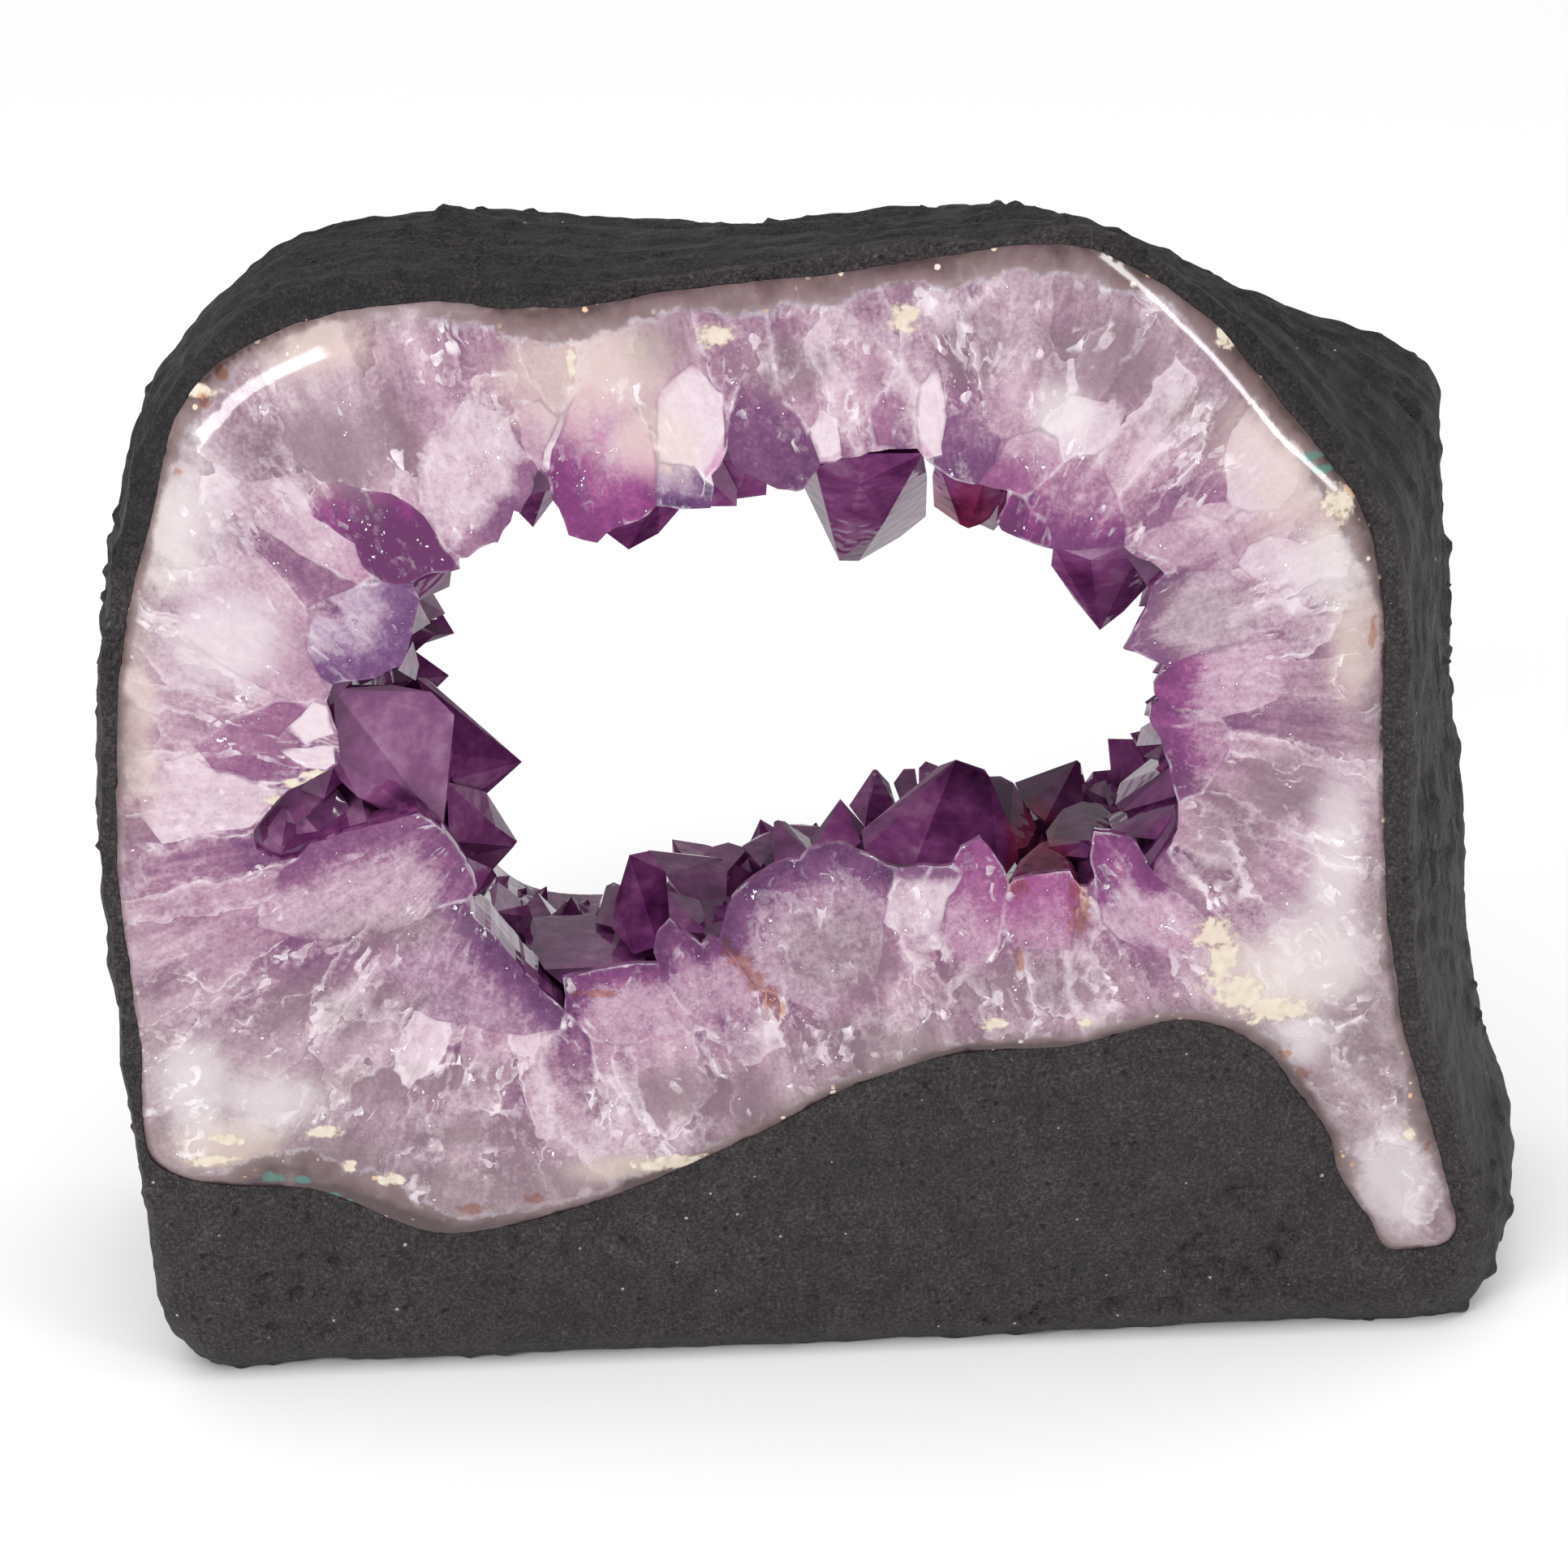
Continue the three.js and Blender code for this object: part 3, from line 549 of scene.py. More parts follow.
def hull(name, points):
    shape = bmesh.new()
    for point in np.asarray(points) * MM:
        shape.verts.new(point)
    made = bmesh.ops.convex_hull(shape, input=shape.verts)
    spare = {v for key in ("geom_interior", "geom_unused") for v in made[key]}
    spare = [v for v in spare if isinstance(v, bmesh.types.BMVert)]
    bmesh.ops.delete(shape, geom=spare, context="VERTS")
    bmesh.ops.recalc_face_normals(shape, faces=shape.faces)
    mesh = bpy.data.meshes.new(name)
    shape.to_mesh(mesh)
    shape.free()
    return bpy.data.objects.new(name, mesh)


def combine(base, tools, operation):
    """Cuts, joins or intersects base with the tools, which are used up."""
    scene = bpy.context.scene.collection
    box = bpy.data.collections.new("tools")
    scene.children.link(box)
    for tool in tools:
        box.objects.link(tool)
    scene.objects.link(base)
    step = base.modifiers.new("combine", "BOOLEAN")
    step.operation, step.solver = operation, "MANIFOLD"
    step.operand_type, step.collection = "COLLECTION", box
    bpy.context.view_layer.update()
    shaped = base.evaluated_get(bpy.context.evaluated_depsgraph_get())
    mesh = bpy.data.meshes.new_from_object(shaped)
    base.modifiers.clear()
    base.data = mesh
    scene.objects.unlink(base)
    for tool in tools:
        bpy.data.meshes.remove(tool.data)
    bpy.data.collections.remove(box)
    return base


ROW_HEIGHT = 0.87  # of a net of even triangles, in steps
NET_JITTER, NET_CLEARANCE = 0.18, 0.55  # in steps: how far its points stray, and keep off the lines
NET_MARGIN = 9


def face_grid(step, outlines, reach):
    """A flat triangle net over the whole face whose edges follow the outlines."""
    (x0, x1), (z0, z1) = reach
    rows = enumerate(np.arange(z0, z1, step * ROW_HEIGHT))
    net = np.array([(x + step / 2 * (row % 2), z) for row, z in rows for x in np.arange(x0, x1, step)])
    net = net + step * NET_JITTER * np.stack([noise(net, step, 5), noise(net, step, 6)], axis=1)
    lines = np.concatenate(outlines) if outlines else np.empty((0, 2))
    if outlines:
        net = net[nearest(net, lines)[0] > step * NET_CLEARANCE]
    (x0, z0), (x1, z1) = (x0 - NET_MARGIN, z0 - NET_MARGIN), (x1 + NET_MARGIN, z1 + NET_MARGIN)
    corners = np.array([(x0, z0), (x1, z0), (x1, z1), (x0, z1)])
    points = [Vector(p) for p in np.concatenate([corners, lines, net]).tolist()]
    edges, start = [], 0
    for outline in [corners, *outlines]:
        places = np.arange(len(outline))
        edges += (np.stack([places, np.roll(places, -1)], axis=1) + start).tolist()
        start += len(outline)
    found = delaunay_2d_cdt(points, edges, [], 1, 1e-5, False)
    return np.array([tuple(v) for v in found[0]]), [tuple(f) for f in found[2]]


def gridded_slab(name, front, front_relief, back):
    """A slab from the front saw cut to the back one, with a fine net on both faces."""
    (flat, faces), (flat_back, faces_back) = front, back
    vertices = np.concatenate([at_depth(flat, FRONT), at_depth(flat_back, BACK)])
    vertices[:len(flat), 1] += front_relief(flat)
    faces = faces + [tuple(i + len(flat) for i in f) for f in faces_back]
    here, there = corner_points(flat), corner_points(flat_back)
    sides = [
        (here[k], here[(k + 1) % 4], there[(k + 1) % 4] + len(flat), there[k] + len(flat))
        for k in range(4)
    ]
    return mesh_object(name, vertices, faces + sides)


def corner_points(flat):
    """The numbers of the four corner points, anticlockwise from the lowest left one."""
    return [int(np.argmax(flat @ sides)) for sides in ((-1, -1), (1, -1), (1, 1), (-1, 1))]


# ---- amethyst: shape --------------------------------------------------------------------------

STONE_STATIONS = 640
FINER = 4
RIM_STATIONS = FINER * STONE_STATIONS  # to measure distances from the rim
STONE_DEPTHS = [-54, -40, -25, 0, 25, 54]  # of the rings that its flank is lofted through
HOLLOW_DEPTHS = [-48.7, -25, 0, 25, 60]  # of the hole, from just inside the wall of its mouth
HOLLOW_STATIONS, LINING_STATIONS = 200, 400
STONE_REACH = ((-186, 172), (18, 300))  # the part of the face that its nets cover
MOUTH_WALL = 1.6  # depth to which the hole keeps the outline of its mouth
BEYOND = -60  # in front of the piece
HEART = np.array([(-85.0, 165.0), (25.0, 190.0)])  # the line that all crystals point to
HEART_REACH = 90.0  # typical distance from it, for sizes measured round the hole
TAPER = {"great_left": 0.97, "slope": 0.95}  # how little these narrow towards their roots
USUAL_TAPER, ROOT_TAPER = 0.8, 0.35
SAWN_ROOT = 22  # how far into the wall the root of a sawn crystal lies
NATURAL_ROOT, NATURAL_ROOT_BACK, NATURAL_ROOT_SIZE = 16, 6, 0.6  # the same of a whole one
POINT_HEIGHT = 1.2  # of a lining crystal's point, in radii
NEAR_CORNER = 0.86  # how far from the axis every other corner of it stands, of the radius

# Rings of crystals that line the rest of the hole: depth, count, root to tip, radius, first draw.
LINING = [
    (-26, 20, (15, 21), (8, 12), 1), (-6, 20, (17, 24), (8, 12), 21), (14, 20, (19, 27), (8, 12), 41),
    (32, 20, (19, 27), (8, 12), 61), (46, 20, (19, 26), (8, 12), 81),
    (-16, 34, (15, 20), (4, 7), 401), (4, 34, (16, 21), (4, 7), 441), (23, 34, (17, 22), (4, 7), 481),
    (40, 34, (17, 22), (4, 7), 521),
]
LINING_SUNK = 12  # how far its root lies behind the wall
LOW_SPOT = (-106, -50, 122)  # least and greatest x, greatest z: the crystals are shorter here
LOW_SPOT_CUT = 6
LINING_LEAN = 0.35  # at most, as a share of the way inwards
LINING_STRAY = 3  # how far a crystal stands before or behind its ring
LINING_SIDE = (0.3, 0.2, 0.93)  # along no crystal's own axis
EDGE_WIDTH = (3, 1.3)  # how wide the worn edge is: least, and more for each millimetre it drops
EDGE_POWER = 1.3  # 1 would be a straight bevel
EDGE_REACH = 12  # how far past the edge its slope runs on
CASING_SLOPE, CASING_RETURN = 8, 9  # how gently the casing falls on, and within what it comes back
FALLS_ON = (2, 4)  # drops at which the casing starts to fall on, and only falls on


def heart_point(flat):
    """The nearest point of the heart line, and the direction away from it."""
    a, b = HEART
    run = b - a
    share = np.clip((flat - a) @ run / (run @ run), 0, 1)
    foot = a + share[:, None] * run
    away = flat - foot
    reach = np.linalg.norm(away, axis=1)
    return foot, away / reach[:, None], reach


def cut_crystal(name, outline, depth):
    """The part of a sawn crystal behind the saw cut, narrowing to its root in the wall."""
    flat = broken_line(outline)
    middle = flat.mean(axis=0)[None]
    root = middle + heart_point(middle)[1] * SAWN_ROOT
    taper = TAPER.get(name, USUAL_TAPER)
    rings = [
        at_depth(root + (flat - root) * share, FRONT + y)
        for y, share in ((-3, 1), (0, 1), (depth * 0.4, 1 - (1 - taper) * 0.2), (depth, taper))
    ]
    rings.append(at_depth(root + (flat - root) * taper * ROOT_TAPER, FRONT + depth * 2 + 4))
    return loft(name, rings)


def natural_crystal(name, corners):
    """A whole crystal from the corners of its visible faces, carried on into the wall."""
    corners = np.array(corners, float)
    middle = corners.mean(axis=0)
    out = heart_point(middle[None, [0, 2]])[1][0]
    shift = np.array([out[0] * NATURAL_ROOT, NATURAL_ROOT_BACK, out[1] * NATURAL_ROOT])
    root = middle + (corners - middle) * NATURAL_ROOT_SIZE + shift
    root[:, 1] = np.maximum(root[:, 1], FRONT + MOUTH_WALL)
    return hull(name, np.concatenate([corners, root]))


def lining_crystal(name, spot, inward, length, radius, n):
    """An uneven six-sided crystal with a lopsided point, every other corner nearer to its axis."""
    six = np.arange(6)
    side = np.cross(inward, LINING_SIDE)
    side /= np.linalg.norm(side)
    other = np.cross(inward, side)
    root = spot - inward * LINING_SUNK
    angles = np.radians(60 * scatter(n + 600) + 60 * six)
    rim = np.cos(angles)[:, None] * side + np.sin(angles)[:, None] * other
    reach = radius * np.where(six % 2, NEAR_CORNER, 1) * (0.85 + 0.3 * scatter(n * 7 + six))
    shoulder = length - radius * POINT_HEIGHT * (0.8 + 0.35 * scatter(n * 5 + six + 3))
    shoulder = np.maximum(shoulder, length * 0.2)
    lean = (scatter(n + 900) - 0.5) * side + (scatter(n + 950) - 0.5) * other
    tip = root + inward * length + lean * radius * 0.5
    corners = root + rim * reach[:, None]
    return hull(name, np.concatenate([corners, corners + inward * shoulder[:, None], [tip]]))


def placed_lining(depth, count, lengths, radii, first, i):
    """Crystal i of a ring of lining crystals, at its own place, lean and size."""
    n = first + i
    shift, stray, lean_along, lean_deep, long, wide = scatter(n + 100 * np.arange(6))
    y = depth + LINING_STRAY * (stray * 2 - 1)
    ring, normals = outline_at(CAVITY_OUTLINE, y, LINING_STATIONS)
    place = (i + 0.5 * (first % 40 > 20) + 0.4 * (shift - 0.5)) / count
    at = int(round(place * LINING_STATIONS)) % LINING_STATIONS
    out_x, out_z = normals[at]
    inward = np.array([-out_x, 0, -out_z])
    inward = inward + LINING_LEAN * (lean_along * 2 - 1) * np.array([out_z, 0, -out_x])
    inward[1] = LINING_LEAN * (lean_deep * 2 - 1)
    inward /= np.linalg.norm(inward)
    spot = np.array([ring[at][0], y, ring[at][1]])
    length = lengths[0] + (lengths[1] - lengths[0]) * long
    if LOW_SPOT[0] < spot[0] < LOW_SPOT[1] and spot[2] < LOW_SPOT[2]:
        length -= LOW_SPOT_CUT
    radius = radii[0] + (radii[1] - radii[0]) * wide
    return lining_crystal(f"lining_{n}", spot, inward, length, radius, n)


def lining_crystals():
    return [placed_lining(*row, i) for row in LINING for i in range(row[1])]


def stone_block(name, proud, depths):
    """The stone as if it were solid, its rind standing proud of the outline by this much."""
    rings = []
    for y in depths:
        ring, normals = outline_at(STONE_OUTLINE, y, STONE_STATIONS)
        solid = np.column_stack([ring, np.full(len(ring), y)])
        rough = noise(solid, 9, 11) * 0.7 + noise(solid, 3.5, 12) * 0.3
        rings.append(at_depth(ring + normals * (proud + rough)[:, None], y))
    return loft(name, rings)


def rounding(flat, on_stone=True):
    """How far the worn front edge lies behind the saw cut, at points on the face.

    Beyond the edge the stone's cut runs on down, and the casing comes back up where it can.
    """
    outline, _ = outline_at(STONE_OUTLINE, FRONT, RIM_STATIONS)
    distance, place = nearest(flat, outline)
    drop = trait(STONE_OUTLINE, 4, RIM_STATIONS)[place]
    width = EDGE_WIDTH[0] + drop * EDGE_WIDTH[1]
    within = drop * np.clip(1 - distance / width, 0, 1) ** EDGE_POWER
    distance = np.minimum(distance, EDGE_REACH)
    if on_stone:
        beyond = drop * (1 + EDGE_POWER * distance / width)
    else:
        keep = smooth_step(*FALLS_ON, drop)
        beyond = drop * (1 + distance / CASING_SLOPE) * keep
        beyond += drop * np.clip(1 - distance / CASING_RETURN, 0, 1) * (1 - keep)
    return np.where(inside(flat, outline[::FINER]), within, beyond)


def mouth_tools():
    """What is cut out of the solid stone: the hole with the edge of its mouth, and the pocket."""
    mouth, pocket = broken_line(MOUTH), np.array(POCKET, float)
    hollow = [at_depth(outline_at(CAVITY_OUTLINE, y, HOLLOW_STATIONS)[0], y) for y in HOLLOW_DEPTHS]
    floor = pocket.mean(axis=0) + (pocket - pocket.mean(axis=0)) * POCKET_FLOOR
    return [
        loft("mouth", [at_depth(mouth, BEYOND), at_depth(mouth, FRONT + MOUTH_WALL)]),
        loft("hollow", hollow),
        loft("pocket", [
            at_depth(pocket, BEYOND), at_depth(pocket, FRONT), at_depth(floor, FRONT + POCKET_DEPTH),
        ]),
    ]


def druse_shape():
    stone = stone_block("amethyst", 0, STONE_DEPTHS)
    combine(stone, mouth_tools(), "DIFFERENCE")
    crystals = [cut_crystal(k, v[0], v[1]) for k, v in SECTIONS.items()]
    crystals += [natural_crystal(k, v) for k, v in NATURAL.items()]
    combine(stone, crystals + lining_crystals(), "UNION")
    combine(stone, [stone_block("limit", 0, STONE_DEPTHS)], "INTERSECT")
    front = face_grid(FACE_GRID, [broken_line(v[0]) for v in SECTIONS.values()], STONE_REACH)
    slab = gridded_slab("slab", front, rounding, face_grid(BACK_GRID, [], STONE_REACH))
    return combine(stone, [slab], "INTERSECT")


# ---- casing: shape ----------------------------------------------------------------------------

CASING_STATIONS = 860
CASING_STEP = 1.6
CASING_MARGIN = 4  # how far its flank runs past the saw cuts before the slab trims it
CASING_REACH = ((-192, 192), (-8, 306))  # the same for its nets
SEAT_DEPTHS = [-64, *STONE_DEPTHS, 64]
ABOVE_GROUND = ((-300, -300, 0), (300, 300, 400))
PIT_TURN = np.array([(0.86, -0.5), (0.5, 0.86)])  # so that the pits stand in no level rows
PITTED = [(-140, 25, 26, 16), (96, 30, 20, 24), (60, 8, 60, 7)]  # x, z, half width, half height


def casing_relief(points, along, y):
    """Bumps, crumbs and brush marks of the cement, in millimetres outwards."""
    streaks = np.column_stack([along / 26, (y + along * 0.12) / 3.4])
    relief = noise(points, 17, 21) * 0.8 + noise(points, 7, 22) * 0.55 + noise(points, 3.4, 23) * 0.45
    gritty = smooth_step(-0.4, 0.5, noise(points, 30, 25))
    crumbs = np.clip(noise(points, 4.2, 24) - 0.3, 0, 1) * 3.2 * gritty
    brushed = noise(streaks, 1, 26) * 1.1 * smooth_step(70, 130, points[:, 2])
    return relief + crumbs + brushed


def casing_rings():
    """The casing's flank at many depths: swelling, rounded at both edges, and rough."""
    radius = trait(CASING_OUTLINE, 5, CASING_STATIONS)
    swell = trait(CASING_OUTLINE, 4, CASING_STATIONS)
    rings = []
    for y in np.arange(FRONT - CASING_MARGIN, BACK + CASING_MARGIN + CASING_STEP, CASING_STEP):
        ring, normals = outline_at(CASING_OUTLINE, y, CASING_STATIONS)
        share = np.clip((y - FRONT) / DEPTH, 0, 1)
        left = np.maximum(radius - max(0, min(y - FRONT, BACK - y)), 0)
        inset = radius - np.sqrt(radius**2 - left**2)
        along = np.cumsum(np.linalg.norm(np.roll(ring, -1, axis=0) - ring, axis=1))
        proud = swell * 4 * share * (1 - share) - inset + casing_relief(at_depth(ring, y), along, y)
        rings.append(at_depth(ring + normals * proud[:, None], y))
    return rings


def casing_front(flat):
    """How far the front of the casing lies behind the saw cut: worn edge, small hollows, pits."""
    pitted = np.max([
        1 - np.hypot((flat[:, 0] - x) / w, (flat[:, 1] - z) / h) for x, z, w, h in PITTED
    ], axis=0)
    turned = flat @ PIT_TURN
    pits = noise(turned, 4.6, 37) * 0.6 + noise(turned[:, ::-1], 2.1, 38) * 0.6
    pits = np.clip(pits - 0.12, 0, 1) * 2.2 * smooth_step(0, 0.35, pitted)
    crumbs = np.clip(noise(flat, 3.0, 33) - 0.4, 0, 1) * -1.6
    dents = noise(flat, 22, 32) * 0.35 + noise(flat, 6, 34) * 0.2 + noise(flat, 2.9, 35) * 0.22
    return rounding(flat, on_stone=False) + pits + crumbs + dents


def casing_shape():
    casing = loft("cement", casing_rings())
    front, back = face_grid(CASING_GRID, [], CASING_REACH), face_grid(BACK_GRID, [], CASING_REACH)
    combine(casing, [gridded_slab("slab", front, casing_front, back)], "INTERSECT")
    combine(casing, [mesh_object("ground", *brick(*ABOVE_GROUND))], "INTERSECT")
    return combine(casing, [stone_block("seat", SEAT_GAP, SEAT_DEPTHS)], "DIFFERENCE")


def brick(low, high):
    corners = np.array(list(np.ndindex(2, 2, 2)))
    faces = [(0, 1, 3, 2), (4, 6, 7, 5), (0, 4, 5, 1), (2, 3, 7, 6), (0, 2, 6, 4), (1, 5, 7, 3)]
    return np.where(corners, high, low), faces


# ---- amethyst: what its surface is at each place ---------------------------------------------

RING_STEP = 12.5  # depths at which the distance to an outline is measured
RIND_DEPTH = 2.5
ON_FACE, ON_BACK = 0.25, 0.05  # how near a face must lie to the saw cut to be part of it
FACING = (317.3, 91.7, 53.1)  # mixes a face's direction into one number, for its chance
EXTENT_SHARE = 97  # percent of a section that lies nearer to the hole than its extent
SHARP = 32  # degrees: edges that turn more than this stay sharp

# Zones of the sawn face: x, z, half width, half height.
ZONES = {
    "ivory": [
        (-64, 268, 22, 16), (-52, 252, 12, 10), (96, 246, 20, 20), (108, 226, 10, 14), (-128, 276, 18, 9),
        (-62, 60, 16, 5), (112, 200, 7, 20), (-164, 236, 9, 22), (-172, 190, 7, 30), (100, 108, 20, 14),
        (-160, 72, 16, 8),
    ],
    "clear": [
        (-160, 240, 14, 28), (-166, 88, 10, 16), (108, 112, 18, 16), (134, 46, 12, 20), (106, 90, 12, 9),
        (-150, 205, 14, 14), (40, 256, 8, 8), (112, 140, 8, 26), (-148, 84, 16, 10), (104, 216, 12, 10),
    ],
    "smoky": [
        (-126, 109, 26, 9), (-115, 130, 18, 7), (76, 205, 14, 10), (84, 148, 12, 20), (-110, 88, 30, 7),
        (-120, 252, 20, 14), (50, 268, 20, 12), (-100, 72, 22, 8), (-10, 118, 16, 14), (96, 160, 12, 14),
        (-20, 268, 14, 8), (40, 108, 24, 10), (0, 94, 26, 9), (-42, 80, 30, 10), (-90, 58, 34, 9),
        (-140, 66, 20, 8), (-50, 274, 10, 8), (20, 272, 12, 10), (70, 255, 14, 10), (118, 90, 12, 18),
        (-112, 50, 34, 9), (-60, 58, 30, 7), (30, 90, 60, 6), (108, 74, 12, 12),
    ],
    "cream": [
        (83, 121, 6, 5), (85.5, 113, 4.4, 8), (90, 104, 8, 6), (99, 99, 11, 4), (-159, 73, 5, 2),
        (-135.5, 74, 5, 2), (-163, 67, 8, 2), (-130, 64, 2, 2), (-120, 59.5, 4, 1.8), (30, 98, 4, 2),
        (52.5, 97, 3, 1.6), (137, 61, 1.8, 2.4), (-50, 61, 11, 2.6), (25, 229, 2.4, 2.4),
        (5, 279, 4, 3.4), (-37, 276, 5, 3), (-69, 270, 1.2, 5), (78, 272, 3, 3), (-152, 264, 5, 1.8),
        (-141, 165.5, 3, 1.8), (-136, 169.5, 3.4, 1.4), (-131, 172, 3.5, 1.4), (106, 232, 5, 4),
    ],
    "rust": [
        (-36, 122, 1.6, 3), (-34, 119, 2, 3), (-31.5, 116, 2.2, 3.4), (-28.5, 112, 2.2, 3.6),
        (-25.5, 108, 2.6, 4), (-23, 104, 1.8, 3), (34.5, 136, 3, 3), (49, 134, 2.6, 4),
        (-67.5, 110.3, 6, 1.4), (35.5, 116, 1.4, 5), (103, 86, 2, 1.6), (108, 80, 2.4, 1.8),
        (142, 57, 1.8, 1.8), (-84, 52, 3.5, 1.6), (-146, 268, 1.6, 1.6), (-157, 246, 1.4, 1.4),
        (-173, 207, 1.5, 7), (-150, 262, 2, 2), (110, 236, 3, 4), (116, 200, 1.2, 5), (-40, 57, 2, 1.4),
        (-100, 50, 4, 2), (50, 128, 3, 7),
    ],
    "wine": [(21, 226, 9, 16), (42, 132, 10, 8)],
    "teal": [
        (-149, 61, 3, 2), (-142, 60, 2.6, 1.6), (-134, 54, 2.4, 1.6), (-131, 52, 2, 1.4),
        (97, 243, 4.5, 1.2), (101, 240, 3, 1.2),
    ],
}


def zone(name, flat):
    """How deep each point lies in the named zone: 1 in its middle, 0 on its edge, less outside."""
    shares = [1 - np.hypot((flat[:, 0] - x) / w, (flat[:, 1] - z) / h) for x, z, w, h in ZONES[name]]
    return np.clip(np.max(shares, axis=0), -3, 1)


def to_ring(points, rows):
    """The distance from each point to the outline at its own depth, and the place on it."""
    distance, place = np.empty(len(points)), np.empty(len(points), int)
    level = np.round((np.clip(points[:, 1], FRONT, BACK) - FRONT) / RING_STEP)
    for k in np.unique(level):
        here = level == k
        ring, _ = outline_at(rows, FRONT + k * RING_STEP, RIM_STATIONS)
        distance[here], place[here] = nearest(points[here][:, [0, 2]], ring)
    return distance, place


def store(mesh, name, domain, values):
    """Keeps three numbers for each point or face corner of the mesh."""
    layer = mesh.attributes.new(name, "FLOAT_VECTOR", domain)
    layer.data.foreach_set("vector", np.ascontiguousarray(values, np.float32).ravel())


def mesh_points(mesh):
    co = np.empty(len(mesh.vertices) * 3)
    mesh.vertices.foreach_get("co", co)
    return co.reshape(-1, 3) / MM


def face_numbers(mesh, key, width):
    values = np.empty(len(mesh.polygons) * width)
    mesh.polygons.foreach_get(key, values)
    return values.reshape(-1, width)


def store_distances(mesh):
    """Stores how far each point is from the hole, the rim and the lines, and the zones it is in."""
    points = mesh_points(mesh)
    flat = points[:, [0, 2]]
    foot, away, reach = heart_point(flat)
    store(mesh, "ring", "POINT", np.column_stack([foot + away * HEART_REACH, reach]))
    to_rim, at_rim = to_ring(points, STONE_OUTLINE)
    to_mouth, _ = nearest(flat, broken_line(MOUTH, FINE_STEP))
    behind = points[:, 1] > 0
    to_mouth = np.where(behind, to_ring(points, CAVITY_OUTLINE)[0], to_mouth)
    agate = trait(STONE_OUTLINE, 5, RIM_STATIONS)[at_rim]
    store(mesh, "edges", "POINT", np.column_stack([to_mouth, to_rim, agate]))
    for name, kinds in (("zones_a", ("ivory", "clear", "smoky")), ("zones_b", ("cream", "rust", "teal"))):
        store(mesh, name, "POINT", np.column_stack([zone(k, flat) for k in kinds]))
    lines = np.concatenate([broken_line(v[0], FINE_STEP) for v in SECTIONS.values()])
    store(mesh, "lines", "POINT", np.column_stack([nearest(flat, lines)[0], zone("wine", flat), behind]))


def face_kinds(middles, normals):
    """Which faces are sawn in front, sawn behind, or rind."""
    flat = middles[:, [0, 2]]
    on_front = np.abs(middles[:, 1] - FRONT - rounding(flat)) < ON_FACE
    on_front &= (normals[:, 1] < -0.5) & (~inside(flat, broken_line(MOUTH)))
    on_back = middles[:, 1] > BACK - ON_BACK
    rind = (to_ring(middles, STONE_OUTLINE)[0] < RIND_DEPTH) & ~on_front & ~on_back
    return on_front, on_back, rind


def section_numbers(flat, on_front):
    """For each face the look of the section that it lies in, then that section's fade and extent."""
    tone, section = np.zeros((len(flat), 3)), np.zeros((len(flat), 3))
    to_mouth, _ = nearest(flat, broken_line(MOUTH, FINE_STEP))
    for outline, _, purple, hue, milk, fade in SECTIONS.values():
        hit = inside(flat, broken_line(outline)) & on_front
        tone[hit] = purple, hue, milk
        section[hit] = fade, np.percentile(to_mouth[hit], EXTENT_SHARE), 1
    return tone, section


def describe_druse(druse):
    """Stores what the material needs to know, and tells the sawn faces from the natural ones."""
    mesh = druse.data
    store_distances(mesh)
    middles, normals = face_numbers(mesh, "center", 3) / MM, face_numbers(mesh, "normal", 3)
    on_front, on_back, rind = face_kinds(middles, normals)
    tone, section = section_numbers(middles[:, [0, 2]], on_front)
    chance = scatter(np.round(normals @ FACING, 1))
    kind = np.column_stack([rind, chance, np.zeros(len(rind))])
    counts = face_numbers(mesh, "loop_total", 1)[:, 0].astype(int)
    for name, values in (("tone", tone), ("section", section), ("kind", kind)):
        store(mesh, name, "CORNER", np.repeat(values, counts, axis=0))
    mesh.polygons.foreach_set("use_smooth", on_front)
    mesh.polygons.foreach_set("material_index", (~(on_front | on_back | rind)).astype(int))
    sharpen(mesh, SHARP)
    return druse


def sharpen(mesh, degrees):
    """Marks the edges that turn more than this as sharp, so that smooth shading stops at them."""
    shape = bmesh.new()
    shape.from_mesh(mesh)
    for edge in shape.edges:
        edge.smooth = edge.calc_face_angle(0) < math.radians(degrees)
    shape.to_mesh(mesh)
    shape.free()


# ---- materials: tools -------------------------------------------------------------------------


